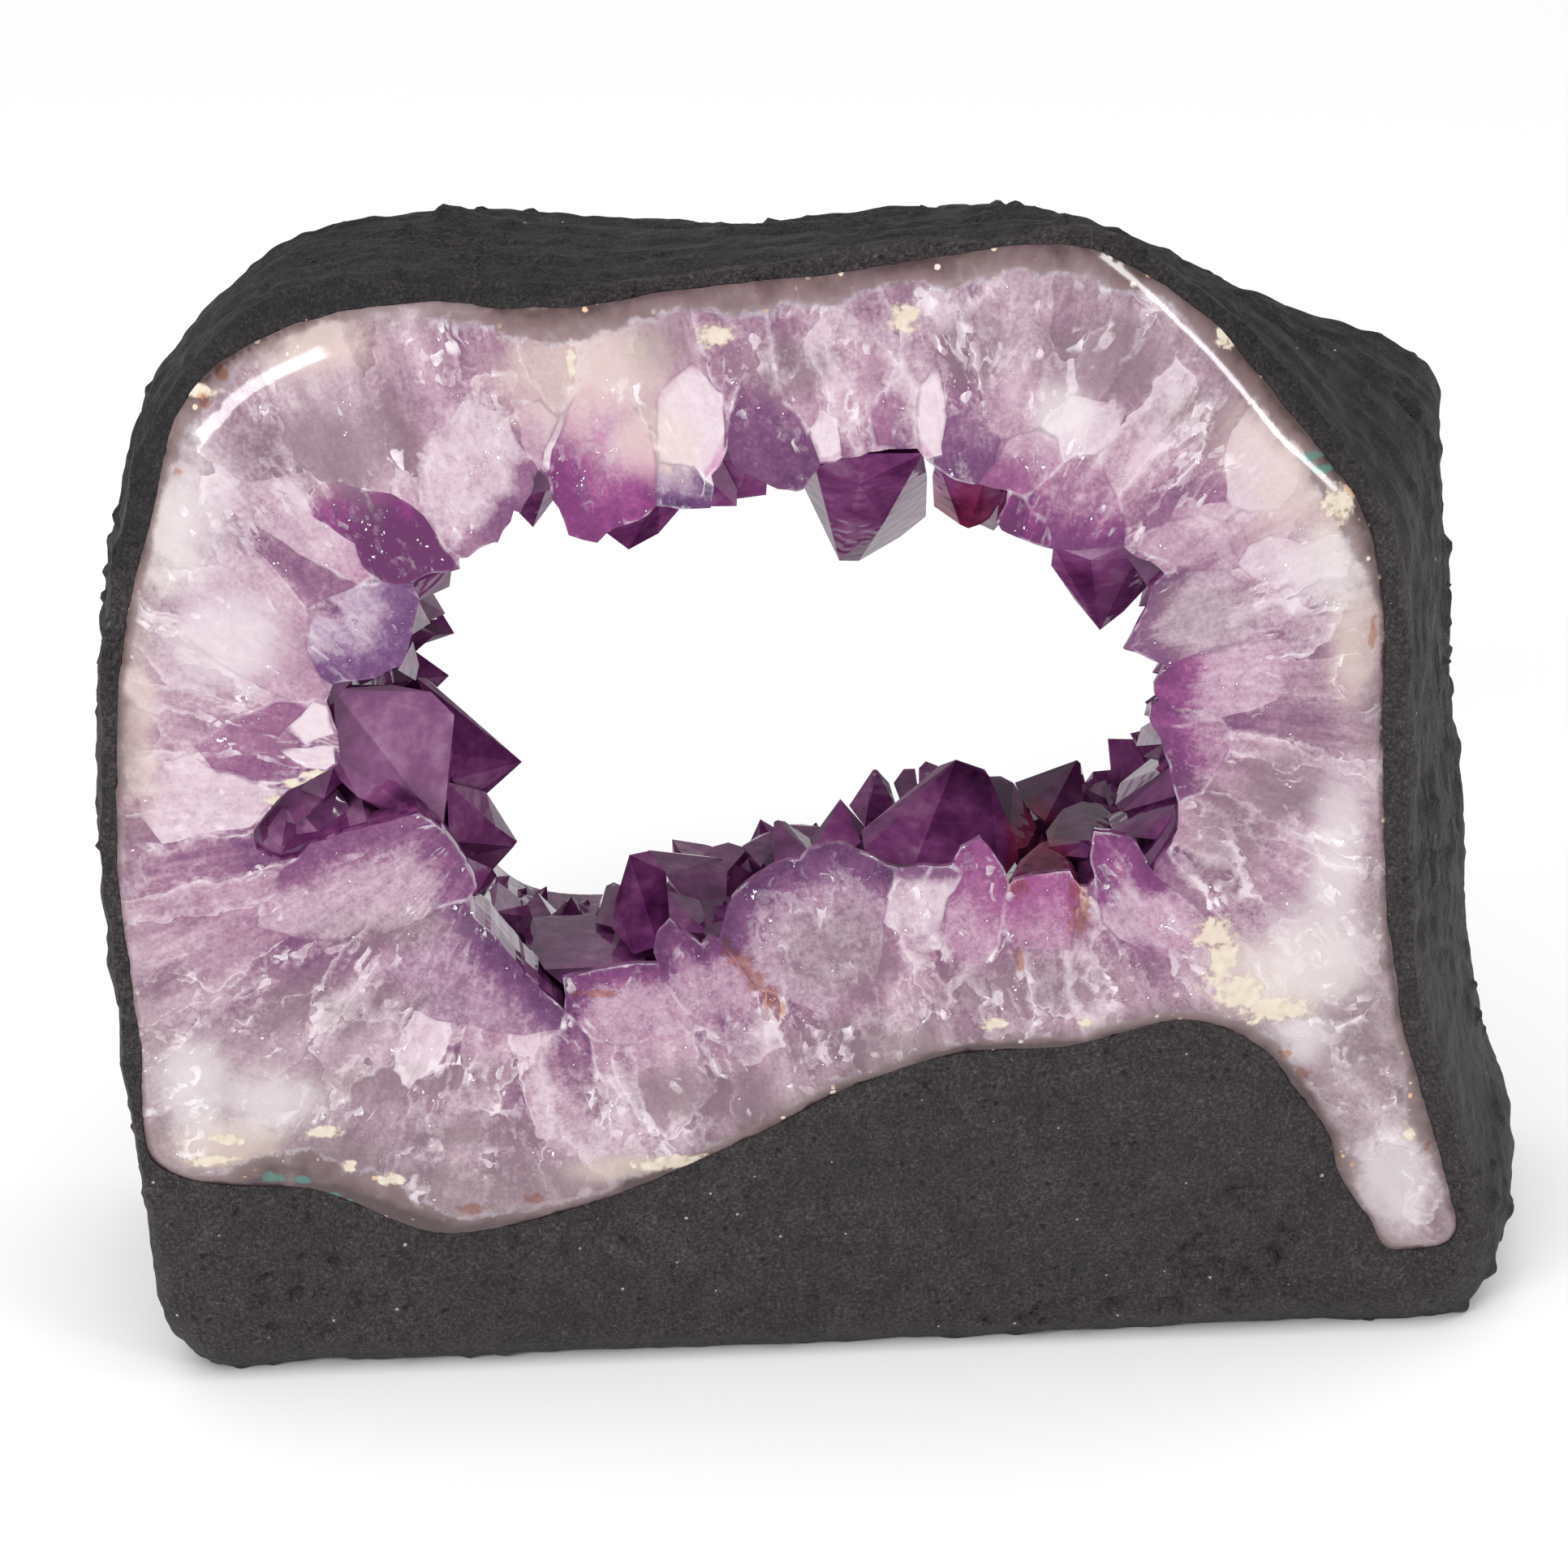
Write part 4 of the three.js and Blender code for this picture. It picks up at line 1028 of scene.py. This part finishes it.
class Shader:
    """The nodes of one material. A value is a number, a colour or the output of another node."""

    def __init__(self, name):
        self.material = bpy.data.materials.new(name)
        self.material.use_nodes = True
        self.tree = self.material.node_tree
        self.surface = self.tree.nodes["Principled BSDF"].inputs
        place = self.node("TexCoord").outputs["Object"]
        self.place = self.vector("SCALE", place, scale=1 / MM)

    def node(self, kind, **settings):
        node = self.tree.nodes.new("ShaderNode" + kind)
        for key, value in settings.items():
            setattr(node, key, value)
        return node

    def feed(self, socket, value):
        if isinstance(value, bpy.types.NodeSocket):
            self.tree.links.new(value, socket)
        elif isinstance(value, tuple) and socket.type == "RGBA":
            socket.default_value = (*value, 1)
        else:
            socket.default_value = value

    def math(self, operation, *values, clamp=False):
        node = self.node("Math", operation=operation, use_clamp=clamp)
        for socket, value in zip(node.inputs, values):
            self.feed(socket, value)
        return node.outputs[0]

    def add(self, *values):
        return functools.reduce(lambda a, b: self.math("ADD", a, b), values)

    def times(self, *values):
        return functools.reduce(lambda a, b: self.math("MULTIPLY", a, b), values)

    def minus(self, a, b):
        return self.math("SUBTRACT", a, b)

    def over(self, a, b):
        """a divided by b, or by 1 where b is less."""
        return self.math("DIVIDE", a, self.math("MAXIMUM", b, 1.0))

    def most(self, a, b):
        return self.math("MAXIMUM", a, b)

    def vector(self, operation, *values, scale=None):
        node = self.node("VectorMath", operation=operation)
        for socket, value in zip(node.inputs, values):
            self.feed(socket, value)
        if scale is not None:
            self.feed(node.inputs["Scale"], scale)
        return node.outputs["Vector"]

    def split(self, vector):
        node = self.node("SeparateXYZ")
        self.feed(node.inputs[0], vector)
        return list(node.outputs)

    def kept(self, name):
        """The three numbers stored on the mesh under this name."""
        return self.split(self.node("Attribute", attribute_name=name).outputs["Vector"])

    def step(self, value, low, high, to_low=0.0, to_high=1.0):
        """Runs smoothly from to_low to to_high while value goes from low to high."""
        node = self.node("MapRange", interpolation_type="SMOOTHSTEP")
        for key, given in zip(("Value", "From Min", "From Max", "To Min", "To Max"),
                              (value, low, high, to_low, to_high)):
            self.feed(node.inputs[key], given)
        return node.outputs[0]

    def mix(self, share, a, b, blend="MIX"):
        node = self.node("Mix", data_type="RGBA", blend_type=blend)
        for place, value in ((0, share), (6, a), (7, b)):
            self.feed(node.inputs[place], value)
        return node.outputs[2]

    def blend(self, share, a, b):
        return self.add(a, self.times(share, self.minus(b, a)))

    def noise(self, at, size, detail=3.0, rough=0.55, colour=False):
        node = self.node("TexNoise")
        for key, value in (("Vector", at), ("Scale", 1 / size), ("Detail", detail), ("Roughness", rough)):
            self.feed(node.inputs[key], value)
        return node.outputs[1 if colour else 0]

    def swing(self, at, size, detail=3.0, rough=0.55):
        """Noise about 0, in place of noise about a half."""
        return self.minus(self.noise(at, size, detail, rough), 0.5)

    def cells(self, at, size, feature="F1"):
        node = self.node("TexVoronoi", feature=feature)
        self.feed(node.inputs["Vector"], at)
        self.feed(node.inputs["Scale"], 1 / size)
        return node.outputs

    def ramp(self, value, stops):
        node = self.node("ValToRGB")
        self.feed(node.inputs[0], value)
        bar = node.color_ramp.elements
        while len(bar) < len(stops):
            bar.new(1.0)
        for stop, (place, colour) in zip(bar, stops):
            stop.position, stop.color = place, (*colour, 1)
        return node.outputs[0]

    def bump(self, height, distance, strength=1.0):
        node = self.node("Bump")
        self.feed(node.inputs["Height"], height)
        self.feed(node.inputs["Distance"], distance * MM)
        self.feed(node.inputs["Strength"], strength)
        return node.outputs[0]

    def absorb(self, colour, density):
        """Takes light away with the way that it goes inside the solid."""
        volume = self.node("VolumeAbsorption")
        self.feed(volume.inputs["Color"], colour)
        self.feed(volume.inputs["Density"], density)
        self.feed(self.tree.nodes["Material Output"].inputs["Volume"], volume.outputs[0])

    def set(self, **values):
        for key, value in values.items():
            self.feed(self.surface[key.replace("_", " ")], value)


# ---- amethyst: material -----------------------------------------------------------------------

LILAC = [
    (0.0, (0.56, 0.40, 0.475)), (0.25, (0.41, 0.245, 0.33)), (0.5, (0.26, 0.115, 0.205)),
    (0.75, (0.145, 0.038, 0.13)), (1.0, (0.07, 0.006, 0.07)),
]
GREYS = [
    (0.0, (0.53, 0.455, 0.475)), (0.3, (0.38, 0.305, 0.32)), (0.6, (0.23, 0.17, 0.185)),
    (1.0, (0.10, 0.07, 0.08)),
]
FACETS = [
    (0.0, (0.05, 0.006, 0.045)), (0.35, (0.16, 0.03, 0.14)), (0.65, (0.32, 0.085, 0.27)),
    (1.0, (0.54, 0.29, 0.47)),
]
MILK = (0.74, 0.63, 0.68)
MAGENTA_TINT = (1.35, 0.3, 1.15)
BLUE_TINT = (0.78, 0.90, 1.12)
WINE_TINT = (1.0, 0.42, 0.42)
SMOKE = (0.19, 0.125, 0.145)
IVORY = (0.68, 0.57, 0.48)
CLEAR = (0.74, 0.70, 0.71)
# painted highlight colour of the lit seams and flakes
GLINT = (0.95, 0.92, 0.94)
# painted highlight colour of the white specks
HIGHLIGHT_WHITE = (1.0, 1.0, 1.0)
SEAM_PURPLE = 0.8  # place in LILAC
AGATE = [
    (0.0, (0.06, 0.036, 0.036)), (0.25, (0.15, 0.095, 0.095)), (0.7, (0.24, 0.17, 0.175)),
    (1.0, (0.36, 0.29, 0.32)),
]
RIM_DARK_AGATE = 0.15  # place in AGATE
AGATE_LINE = (0.52, 0.49, 0.56)
RIND = (0.13, 0.085, 0.08)
CREAM = [(0.0, (0.42, 0.32, 0.22)), (0.4, (0.60, 0.49, 0.37)), (1.0, (0.78, 0.70, 0.58))]
DOTS = [(0.0, (0.80, 0.73, 0.66)), (0.6, (0.80, 0.64, 0.48)), (1.0, (0.78, 0.42, 0.20))]
RUST = (0.72, 0.33, 0.13)
TEAL = (0.07, 0.24, 0.20)
QUARTZ_IOR = 1.544
FACET_GLOSS = 0.38
GLOSS = 0.42  # how strongly the polished stone mirrors: its fine scratches dull it
CRYSTAL_TRANSMISSION = 0.35
ABSORPTION = (0.62, 0.34, 0.72)
ABSORPTION_DENSITY = 120.0

CELL = 13.0  # width of the crystals side by side in the sawn face
SHARD = 4.2  # of the splinters and fractures inside them
CRUMB = 1.7  # of the bits between those


def quartz_patterns(s):
    """The patterns that the sawn face is coloured by, and the numbers kept on it."""
    q = SimpleNamespace()
    q.ring = s.node("Attribute", attribute_name="ring").outputs["Vector"]
    q.to_mouth, q.to_rim, q.agate = s.kept("edges")
    q.fade, extent, q.in_section = s.kept("section")
    half = (0.5, 0.5, 0.5)
    radial = s.vector("MULTIPLY", q.ring, (1, 1, 0.32))
    bent = s.vector("SCALE", s.vector("SUBTRACT", s.noise(q.ring, 12, 2, colour=True), half), scale=9.0)
    fine = s.vector("SUBTRACT", s.noise(s.place, 2.4, 2, colour=True), half)
    straight = s.vector("ADD", radial, bent)
    crystals = s.vector("ADD", straight, s.vector("SCALE", fine, scale=1.3))
    cell = s.cells(crystals, CELL)
    q.edge = s.times(s.cells(crystals, CELL, "DISTANCE_TO_EDGE")["Distance"], CELL)
    q.chances = s.split(cell["Color"])
    q.run = s.times(s.minus(s.split(crystals)[2], s.split(cell["Position"])[2]), 1 / CELL)
    q.shard = s.split(s.cells(s.vector("MULTIPLY", straight, (1, 1, 1.6)), SHARD)["Color"])
    q.crumb = s.split(s.cells(s.vector("MULTIPLY", straight, (1, 1, 1.4)), CRUMB)["Color"])[0]
    q.cloud = s.swing(radial, 10, 2)
    q.grit = s.swing(s.place, 0.9, 1, 0.6)
    q.mottle = s.swing(s.place, 3.0, 4, 0.75)
    q.streak = s.swing(s.vector("MULTIPLY", q.ring, (1, 1, 0.15)), 2.3, 3, 0.65)
    q.patchy = s.noise(s.place, 9, 2)
    soft = s.add(s.times(q.mottle, 0.9), s.times(q.cloud, 1.2))
    q.ivory, q.clear, q.smoky = (s.step(s.add(z, soft), -0.3, 0.7) for z in s.kept("zones_a"))
    q.broken = s.most(s.step(q.patchy, 0.45, 0.62), s.times(q.clear, 0.9))
    splinter = s.add(s.times(s.minus(q.shard[0], 0.5), 0.9), s.minus(q.crumb, 0.5))
    q.splinter = s.times(splinter, q.broken)
    reach = s.add(s.over(q.to_mouth, extent), s.times(q.cloud, 0.5))
    q.own = s.times(q.in_section, s.step(reach, 0.85, 1.15, 1.0, 0.0))
    return q


def outside_tones(s, q):
    """How purple and how milky the stone is between and behind the traced sections."""
    fibrous = s.step(q.to_rim, 8.0, 35.0, 1.0, 0.35)
    column = s.step(q.to_mouth, 20.0, 60.0, 0.46, 0.2)
    purple = s.add(
        s.step(q.to_mouth, 0.0, 11.0, 0.58, 0.38), s.times(s.minus(q.chances[0], 0.5), column),
        s.times(q.run, -0.16), s.times(q.cloud, 0.95), s.times(q.mottle, 0.45),
        s.times(q.streak, fibrous, 0.75), s.times(q.grit, 0.4),
    )
    # Painted light: milkier near each crystal's edge, standing in for light glowing through the
    # translucent quartz
    between = s.times(s.step(q.edge, 0.0, 2.4, 1.0, 0.0), column)
    milk = s.add(
        -0.12, s.times(s.minus(q.chances[1], 0.5), 0.65), s.times(q.run, 0.30), between,
        s.times(q.cloud, -0.7), s.times(q.streak, fibrous, 1.15), s.times(q.splinter, 1.1),
        s.times(q.mottle, -0.6), s.times(q.grit, -0.4), s.step(q.to_mouth, 35.0, 70.0, 0.0, -0.12),
        s.step(q.to_rim, 4.0, 16.0, -0.1, 0.0),
    )
    return purple, milk


def section_tones(s, q, purple, milk, near):
    """The same inside a traced section, from its own purple and milk."""
    purple = s.add(
        s.blend(near, s.add(0.22, s.times(purple, 0.22)), purple),
        s.times(q.cloud, 0.5), s.times(q.mottle, 0.5), s.times(q.splinter, 0.15), s.times(q.grit, 0.3),
    )
    milk = s.add(
        s.times(milk, s.step(near, 0.2, 0.9, 0.85, 0.0)), s.times(q.streak, 0.5), -0.1,
        s.times(q.splinter, 0.45), s.times(q.mottle, -0.7), s.times(q.grit, -0.3),
    )
    return purple, milk


def sawn_quartz(s, q):
    """Colour of the sawn face: crystals side by side, purple at the hole and milky behind."""
    kept_purple, hue, kept_milk = s.kept("tone")
    near = s.step(s.over(q.to_mouth, q.fade), 0.0, 1.0, 1.0, 0.0)
    purple, milk = outside_tones(s, q)
    section_purple, section_milk = section_tones(s, q, kept_purple, kept_milk, near)
    purple, milk = s.blend(q.own, purple, section_purple), s.blend(q.own, milk, section_milk)
    purple = s.times(purple, s.step(s.most(q.ivory, q.clear), 0.0, 1.0, 1.0, 0.55))
    grey = s.times(s.step(q.to_mouth, 10.0, 75.0, 0.0, 0.75), s.step(q.in_section, 0.0, 1.0, 1.0, 0.5))
    colour = s.mix(grey, s.ramp(purple, LILAC), s.ramp(purple, GREYS))
    red = s.times(q.own, s.add(0.3, near), s.most(hue, 0.0))
    colour = s.mix(red, colour, MAGENTA_TINT, "MULTIPLY")
    blue = s.times(q.own, s.most(s.times(hue, -1.0), 0.0))
    colour = s.mix(blue, colour, BLUE_TINT, "MULTIPLY")
    colour = s.mix(s.times(q.smoky, 0.62), colour, SMOKE)
    colour = s.mix(s.times(s.math("ADD", milk, 0.0, clamp=True), 0.85), colour, MILK)
    colour = s.mix(s.times(q.ivory, 0.5), colour, IVORY)
    return s.mix(s.times(q.clear, 0.5), colour, CLEAR)


def seams_and_glints(s, q, colour):
    """Dark seams between crystals, and painted highlights: lit seams, flakes that catch the light, and
    white specks.
    """
    near_line = s.step(s.kept("lines")[0], 0.0, 0.8, 1.0, 0.0)
    seam = s.times(near_line, s.step(q.to_mouth, 6.0, 34.0, 1.0, 0.15))
    dark = s.times(seam, s.step(q.patchy, 0.44, 0.56, 0.45, 0.0))
    colour = s.mix(dark, colour, s.ramp(SEAM_PURPLE, LILAC))
    # Painted highlights: thin lit lines on crystal edges and seams, and small flakes that catch the light
    lit = s.times(s.step(q.edge, 0.05, 0.45, 1.0, 0.0), s.math("GREATER_THAN", q.chances[2], 0.65))
    lit = s.times(lit, s.step(q.patchy, 0.4, 0.6), s.step(q.own, 0.0, 1.0, 0.4, 0.0))
    lit = s.most(lit, s.times(seam, s.step(q.patchy, 0.5, 0.6), 0.4))
    flakes = s.times(s.step(q.crumb, 0.86, 0.9), s.step(q.shard[1], 0.6, 0.8), q.broken, 0.55)
    lines = s.times(s.most(lit, flakes), s.step(q.mottle, -0.12, 0.1, 0.35, 1.0))
    colour = s.mix(lines, colour, GLINT)
    # Painted highlights: tiny white specks where the stone would sparkle
    speck_highlight = s.add(s.times(q.mottle, 0.8), s.times(q.grit, 0.55), s.times(q.patchy, 0.35))
    return s.mix(s.step(speck_highlight, 0.40, 0.43), colour, HIGHLIGHT_WHITE)


def agate_rim(s, q, colour):
    """The grey-brown agate that borders the quartz, darker at the casing, with pale dots in it."""
    patch = s.noise(s.place, 14, 2)
    # Darker within about 9 mm of the rim, in patches, towards dark agate brown
    worn = s.step(s.add(q.to_rim, s.times(q.mottle, 9.0)), 0.0, 9.0, 0.8, 0.0)
    worn = s.times(worn, s.step(patch, 0.4, 0.6, 0.25, 1.0), s.step(q.agate, 1.0, 4.5, 0.6, 1.0))
    colour = s.mix(worn, colour, s.ramp(RIM_DARK_AGATE, AGATE))
    width = s.times(q.agate, s.step(patch, 0.3, 0.7, 0.6, 1.15))
    band = s.add(q.to_rim, s.times(width, -1.0), s.times(q.mottle, 2.4))
    layers = s.add(s.over(q.to_rim, width), s.times(q.mottle, 0.5))
    layers = s.add(s.times(layers, 0.9), s.times(q.patchy, 0.9), s.times(q.smoky, -0.4), -0.5)
    colour = s.mix(s.step(band, -1.2, 0.6, 0.85, 0.0), colour, s.ramp(layers, AGATE))
    line = s.times(s.step(s.math("ABSOLUTE", band), 0.3, 1.3, 0.4, 0.0), s.step(q.agate, 3.0, 6.0))
    colour = s.mix(s.times(line, s.step(q.mottle, -0.1, 0.1)), colour, AGATE_LINE)
    dots = s.cells(s.place, 3.1)
    chances = s.split(dots["Color"])
    dot = s.step(s.add(dots["Distance"], s.times(q.mottle, 0.35)), 0.16, 0.26, 0.9, 0.0)
    dot = s.times(dot, s.step(chances[0], 0.62, 0.66))
    dot = s.times(dot, s.step(band, -2.5, 2.0, 1.0, 0.0), s.step(patch, 0.46, 0.54))
    return s.mix(dot, colour, s.ramp(chances[1], DOTS))


def stains(s, colour):
    """Patches of calcite, rust and blue-green celadonite over the quartz."""
    grain = s.swing(s.place, 2.2)
    cream, rust, teal = (s.step(s.add(z, s.times(grain, 2.0)), -0.1, 0.45) for z in s.kept("zones_b"))
    colour = s.mix(s.times(cream, 0.9), colour, s.ramp(s.add(s.times(cream, 0.75), grain), CREAM))
    colour = s.mix(s.times(rust, 0.65), colour, RUST, "MULTIPLY")
    return s.mix(s.times(teal, 0.7), colour, TEAL), cream


def natural_facets(s):
    """Colour of the whole faces in the hole: dark purple, lighter where veils lie behind them."""
    chance = s.kept("kind")[1]
    veil = s.noise(s.place, 12, 3, 0.6)
    fine = s.noise(s.place, 3.4, 3, 0.65)
    light = s.add(s.times(chance, 0.45), s.times(veil, 1.2), s.times(fine, 0.45), -0.55)
    _, wine, behind = s.kept("lines")
    wine = s.step(s.minus(wine, behind), -0.2, 0.4)
    return s.mix(wine, s.ramp(light, FACETS), WINE_TINT, "MULTIPLY")


def sawn_material():
    """The sawn faces, and the rind that sits in the casing."""
    s = Shader("amethyst_sawn")
    q = quartz_patterns(s)
    colour = seams_and_glints(s, q, sawn_quartz(s, q))
    colour, cream = stains(s, agate_rim(s, q, colour))
    colour = s.mix(s.kept("kind")[0], colour, RIND)
    s.set(Base_Color=colour, IOR=QUARTZ_IOR, Specular_IOR_Level=GLOSS)
    s.set(Roughness=s.add(0.08, s.times(cream, 0.35)))
    return s.material


def crystal_material():
    """The whole faces of the crystals in the hole, which light goes into."""
    s = Shader("amethyst_crystal")
    s.set(Base_Color=natural_facets(s), IOR=QUARTZ_IOR, Specular_IOR_Level=FACET_GLOSS)
    s.set(Roughness=0.07, Transmission_Weight=CRYSTAL_TRANSMISSION)
    s.set(Normal=s.bump(s.noise(s.place, 3.0, 0), 0.4, 0.3))
    s.absorb(ABSORPTION, ABSORPTION_DENSITY)
    return s.material


# ---- cement: material -------------------------------------------------------------------------

CEMENT = [
    (0.0, (0.004, 0.003, 0.004)), (0.3, (0.021, 0.017, 0.019)), (0.55, (0.045, 0.037, 0.041)),
    (0.8, (0.082, 0.071, 0.076)), (1.0, (0.18, 0.165, 0.17)),
]
CHIP = (0.48, 0.46, 0.45)
CEMENT_GLOSS = 0.35
CEMENT_IOR = 1.5


def cement_material():
    """Charcoal paint on rough cement, with pale chips and brush marks off the front face; painted shade
    darkens the pores, the flanks and the top.
    """
    s = Shader("cement")
    wear, grain = s.swing(s.place, 26, 3, 0.6), s.swing(s.place, 1.0, 3, 0.85)
    lumps = s.swing(s.place, 6, 2, 0.6)
    brushed = s.swing(s.vector("MULTIPLY", s.place, (0.12, 1, 0.5)), 2.4, 2, 0.6)
    # Painted shade: off the front face the flanks and top are darker
    flank = s.step(s.split(s.place)[1], FRONT + 1.0, FRONT + 7.0)
    # Painted shade in the pores: small dark spots
    pores = s.cells(s.place, 4.5)
    pore_shade = s.step(s.add(pores["Distance"], s.times(grain, 0.2)), 0.08, 0.24, 1.0, 0.0)
    pore_shade = s.times(pore_shade, s.step(s.split(pores["Color"])[0], 0.5, 0.7))
    shade = s.add(
        0.40, s.times(wear, 0.4), s.times(grain, 2.3), s.times(lumps, 0.35), s.times(flank, -0.3),
        s.times(brushed, flank, 0.6), s.times(pore_shade, -0.5),
    )
    chips = s.cells(s.place, 7.0)
    size = s.times(s.step(s.split(chips["Color"])[1], 0.66, 1.0), 0.07)
    chip = s.math("LESS_THAN", s.add(chips["Distance"], s.times(grain, 0.14)), size)
    s.set(Base_Color=s.mix(s.times(chip, 0.85), s.ramp(shade, CEMENT), CHIP))
    s.set(Roughness=s.add(0.6, s.times(wear, 0.3), s.times(grain, 0.4)))
    s.set(IOR=CEMENT_IOR, Specular_IOR_Level=CEMENT_GLOSS)
    s.set(Normal=s.bump(s.noise(s.place, 1.3, 2, 0.85), 1.6, 1.0))
    return s.material


# ---- studio -----------------------------------------------------------------------------------

# Lengths here are metres, angles degrees.
FLOOR_SIZE = 60.0  # so large that its far edge stays low in most views
PAPER = (0.9, 0.9, 0.9)
WORLD_STRENGTH = 0.4
SUN_STRENGTH, SUN_SPREAD, SUN_TILT = 2.1, 70, 6
# Softboxes: name, direction from the piece, direction of the long side, length, width, radiance.
SOFTBOXES = [
    ("left", (-0.694, -0.621, 0.363), (0.46, -0.155, 0.43), 1.18, 0.2, 14.0),
    ("right", (0.74, -0.60, 0.28), (0.23, 0.13, -0.32), 0.80, 0.09, 18.0),
]
SOFTBOX_DISTANCE = 1.5
SOFTBOX_TARGET = Vector((0.0, -0.05, 0.26))
CAMERA_PLACE = (-0.06976, -0.71629, 0.4956)
CAMERA_PITCH, CAMERA_TURN = 26.3, -4.1  # down from level, and round to the right
SENSOR = 36  # millimetres, like the focal length
FOCAL_LENGTH = SENSOR * 3900 / 1932  # the photo's own, from its width


def add_floor():
    half = FLOOR_SIZE / 2
    mesh = bpy.data.meshes.new("floor")
    corners = [(-half, -half, 0), (half, -half, 0), (half, half, 0), (-half, half, 0)]
    mesh.from_pydata(corners, [], [(0, 1, 2, 3)])
    paper = Shader("paper")
    paper.set(Base_Color=PAPER, Roughness=0.9)
    mesh.materials.append(paper.material)
    floor = bpy.data.objects.new("floor", mesh)
    bpy.context.scene.collection.objects.link(floor)


def add_softbox(name, away, along, length, width, radiance):
    light = bpy.data.lights.new(name, "AREA")
    light.shape, light.size, light.size_y = "RECTANGLE", width, length
    light.energy = radiance * math.pi * length * width
    back = Vector(away).normalized()
    side = Vector(along).cross(back).normalized()
    turn = Matrix((side, back.cross(side), back)).transposed().to_4x4()
    add_lamp(light, SOFTBOX_TARGET + back * SOFTBOX_DISTANCE, turn)


def studio():
    world = bpy.data.worlds.new("studio")
    bpy.context.scene.world = world
    world.use_nodes = True
    world.node_tree.nodes["Background"].inputs["Color"].default_value = (1, 1, 1, 1)
    world.node_tree.nodes["Background"].inputs["Strength"].default_value = WORLD_STRENGTH
    add_floor()
    sun = bpy.data.lights.new("overhead", "SUN")
    sun.energy, sun.angle = SUN_STRENGTH, math.radians(SUN_SPREAD)
    add_lamp(sun, (0, 0, 2), Matrix.Rotation(math.radians(SUN_TILT), 4, "X"))
    for softbox in SOFTBOXES:
        add_softbox(*softbox)
    bpy.context.scene.view_settings.view_transform = "Standard"


def add_lamp(light, place, turn):
    lamp = bpy.data.objects.new(light.name, light)
    lamp.matrix_world = Matrix.Translation(place) @ turn
    bpy.context.scene.collection.objects.link(lamp)


def camera():
    lens = bpy.data.cameras.new("camera")
    lens.sensor_width, lens.lens = SENSOR, FOCAL_LENGTH
    seen = bpy.data.objects.new("camera", lens)
    seen.location = CAMERA_PLACE
    seen.rotation_euler = (math.radians(90 - CAMERA_PITCH), 0, math.radians(CAMERA_TURN))
    bpy.context.scene.collection.objects.link(seen)
    bpy.context.scene.camera = seen


def dressed(piece, *materials):
    piece.data.materials.clear()
    for material in materials:
        piece.data.materials.append(material)
    return piece


def show(piece, node):
    bpy.context.scene.collection.objects.link(piece)
    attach(piece, "root")
    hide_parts(node)


druse = dressed(druse_shape(), sawn_material(), crystal_material())
show(describe_druse(druse), "amethyst_druse")
show(dressed(casing_shape(), cement_material()), "cement_casing")
studio()
camera()
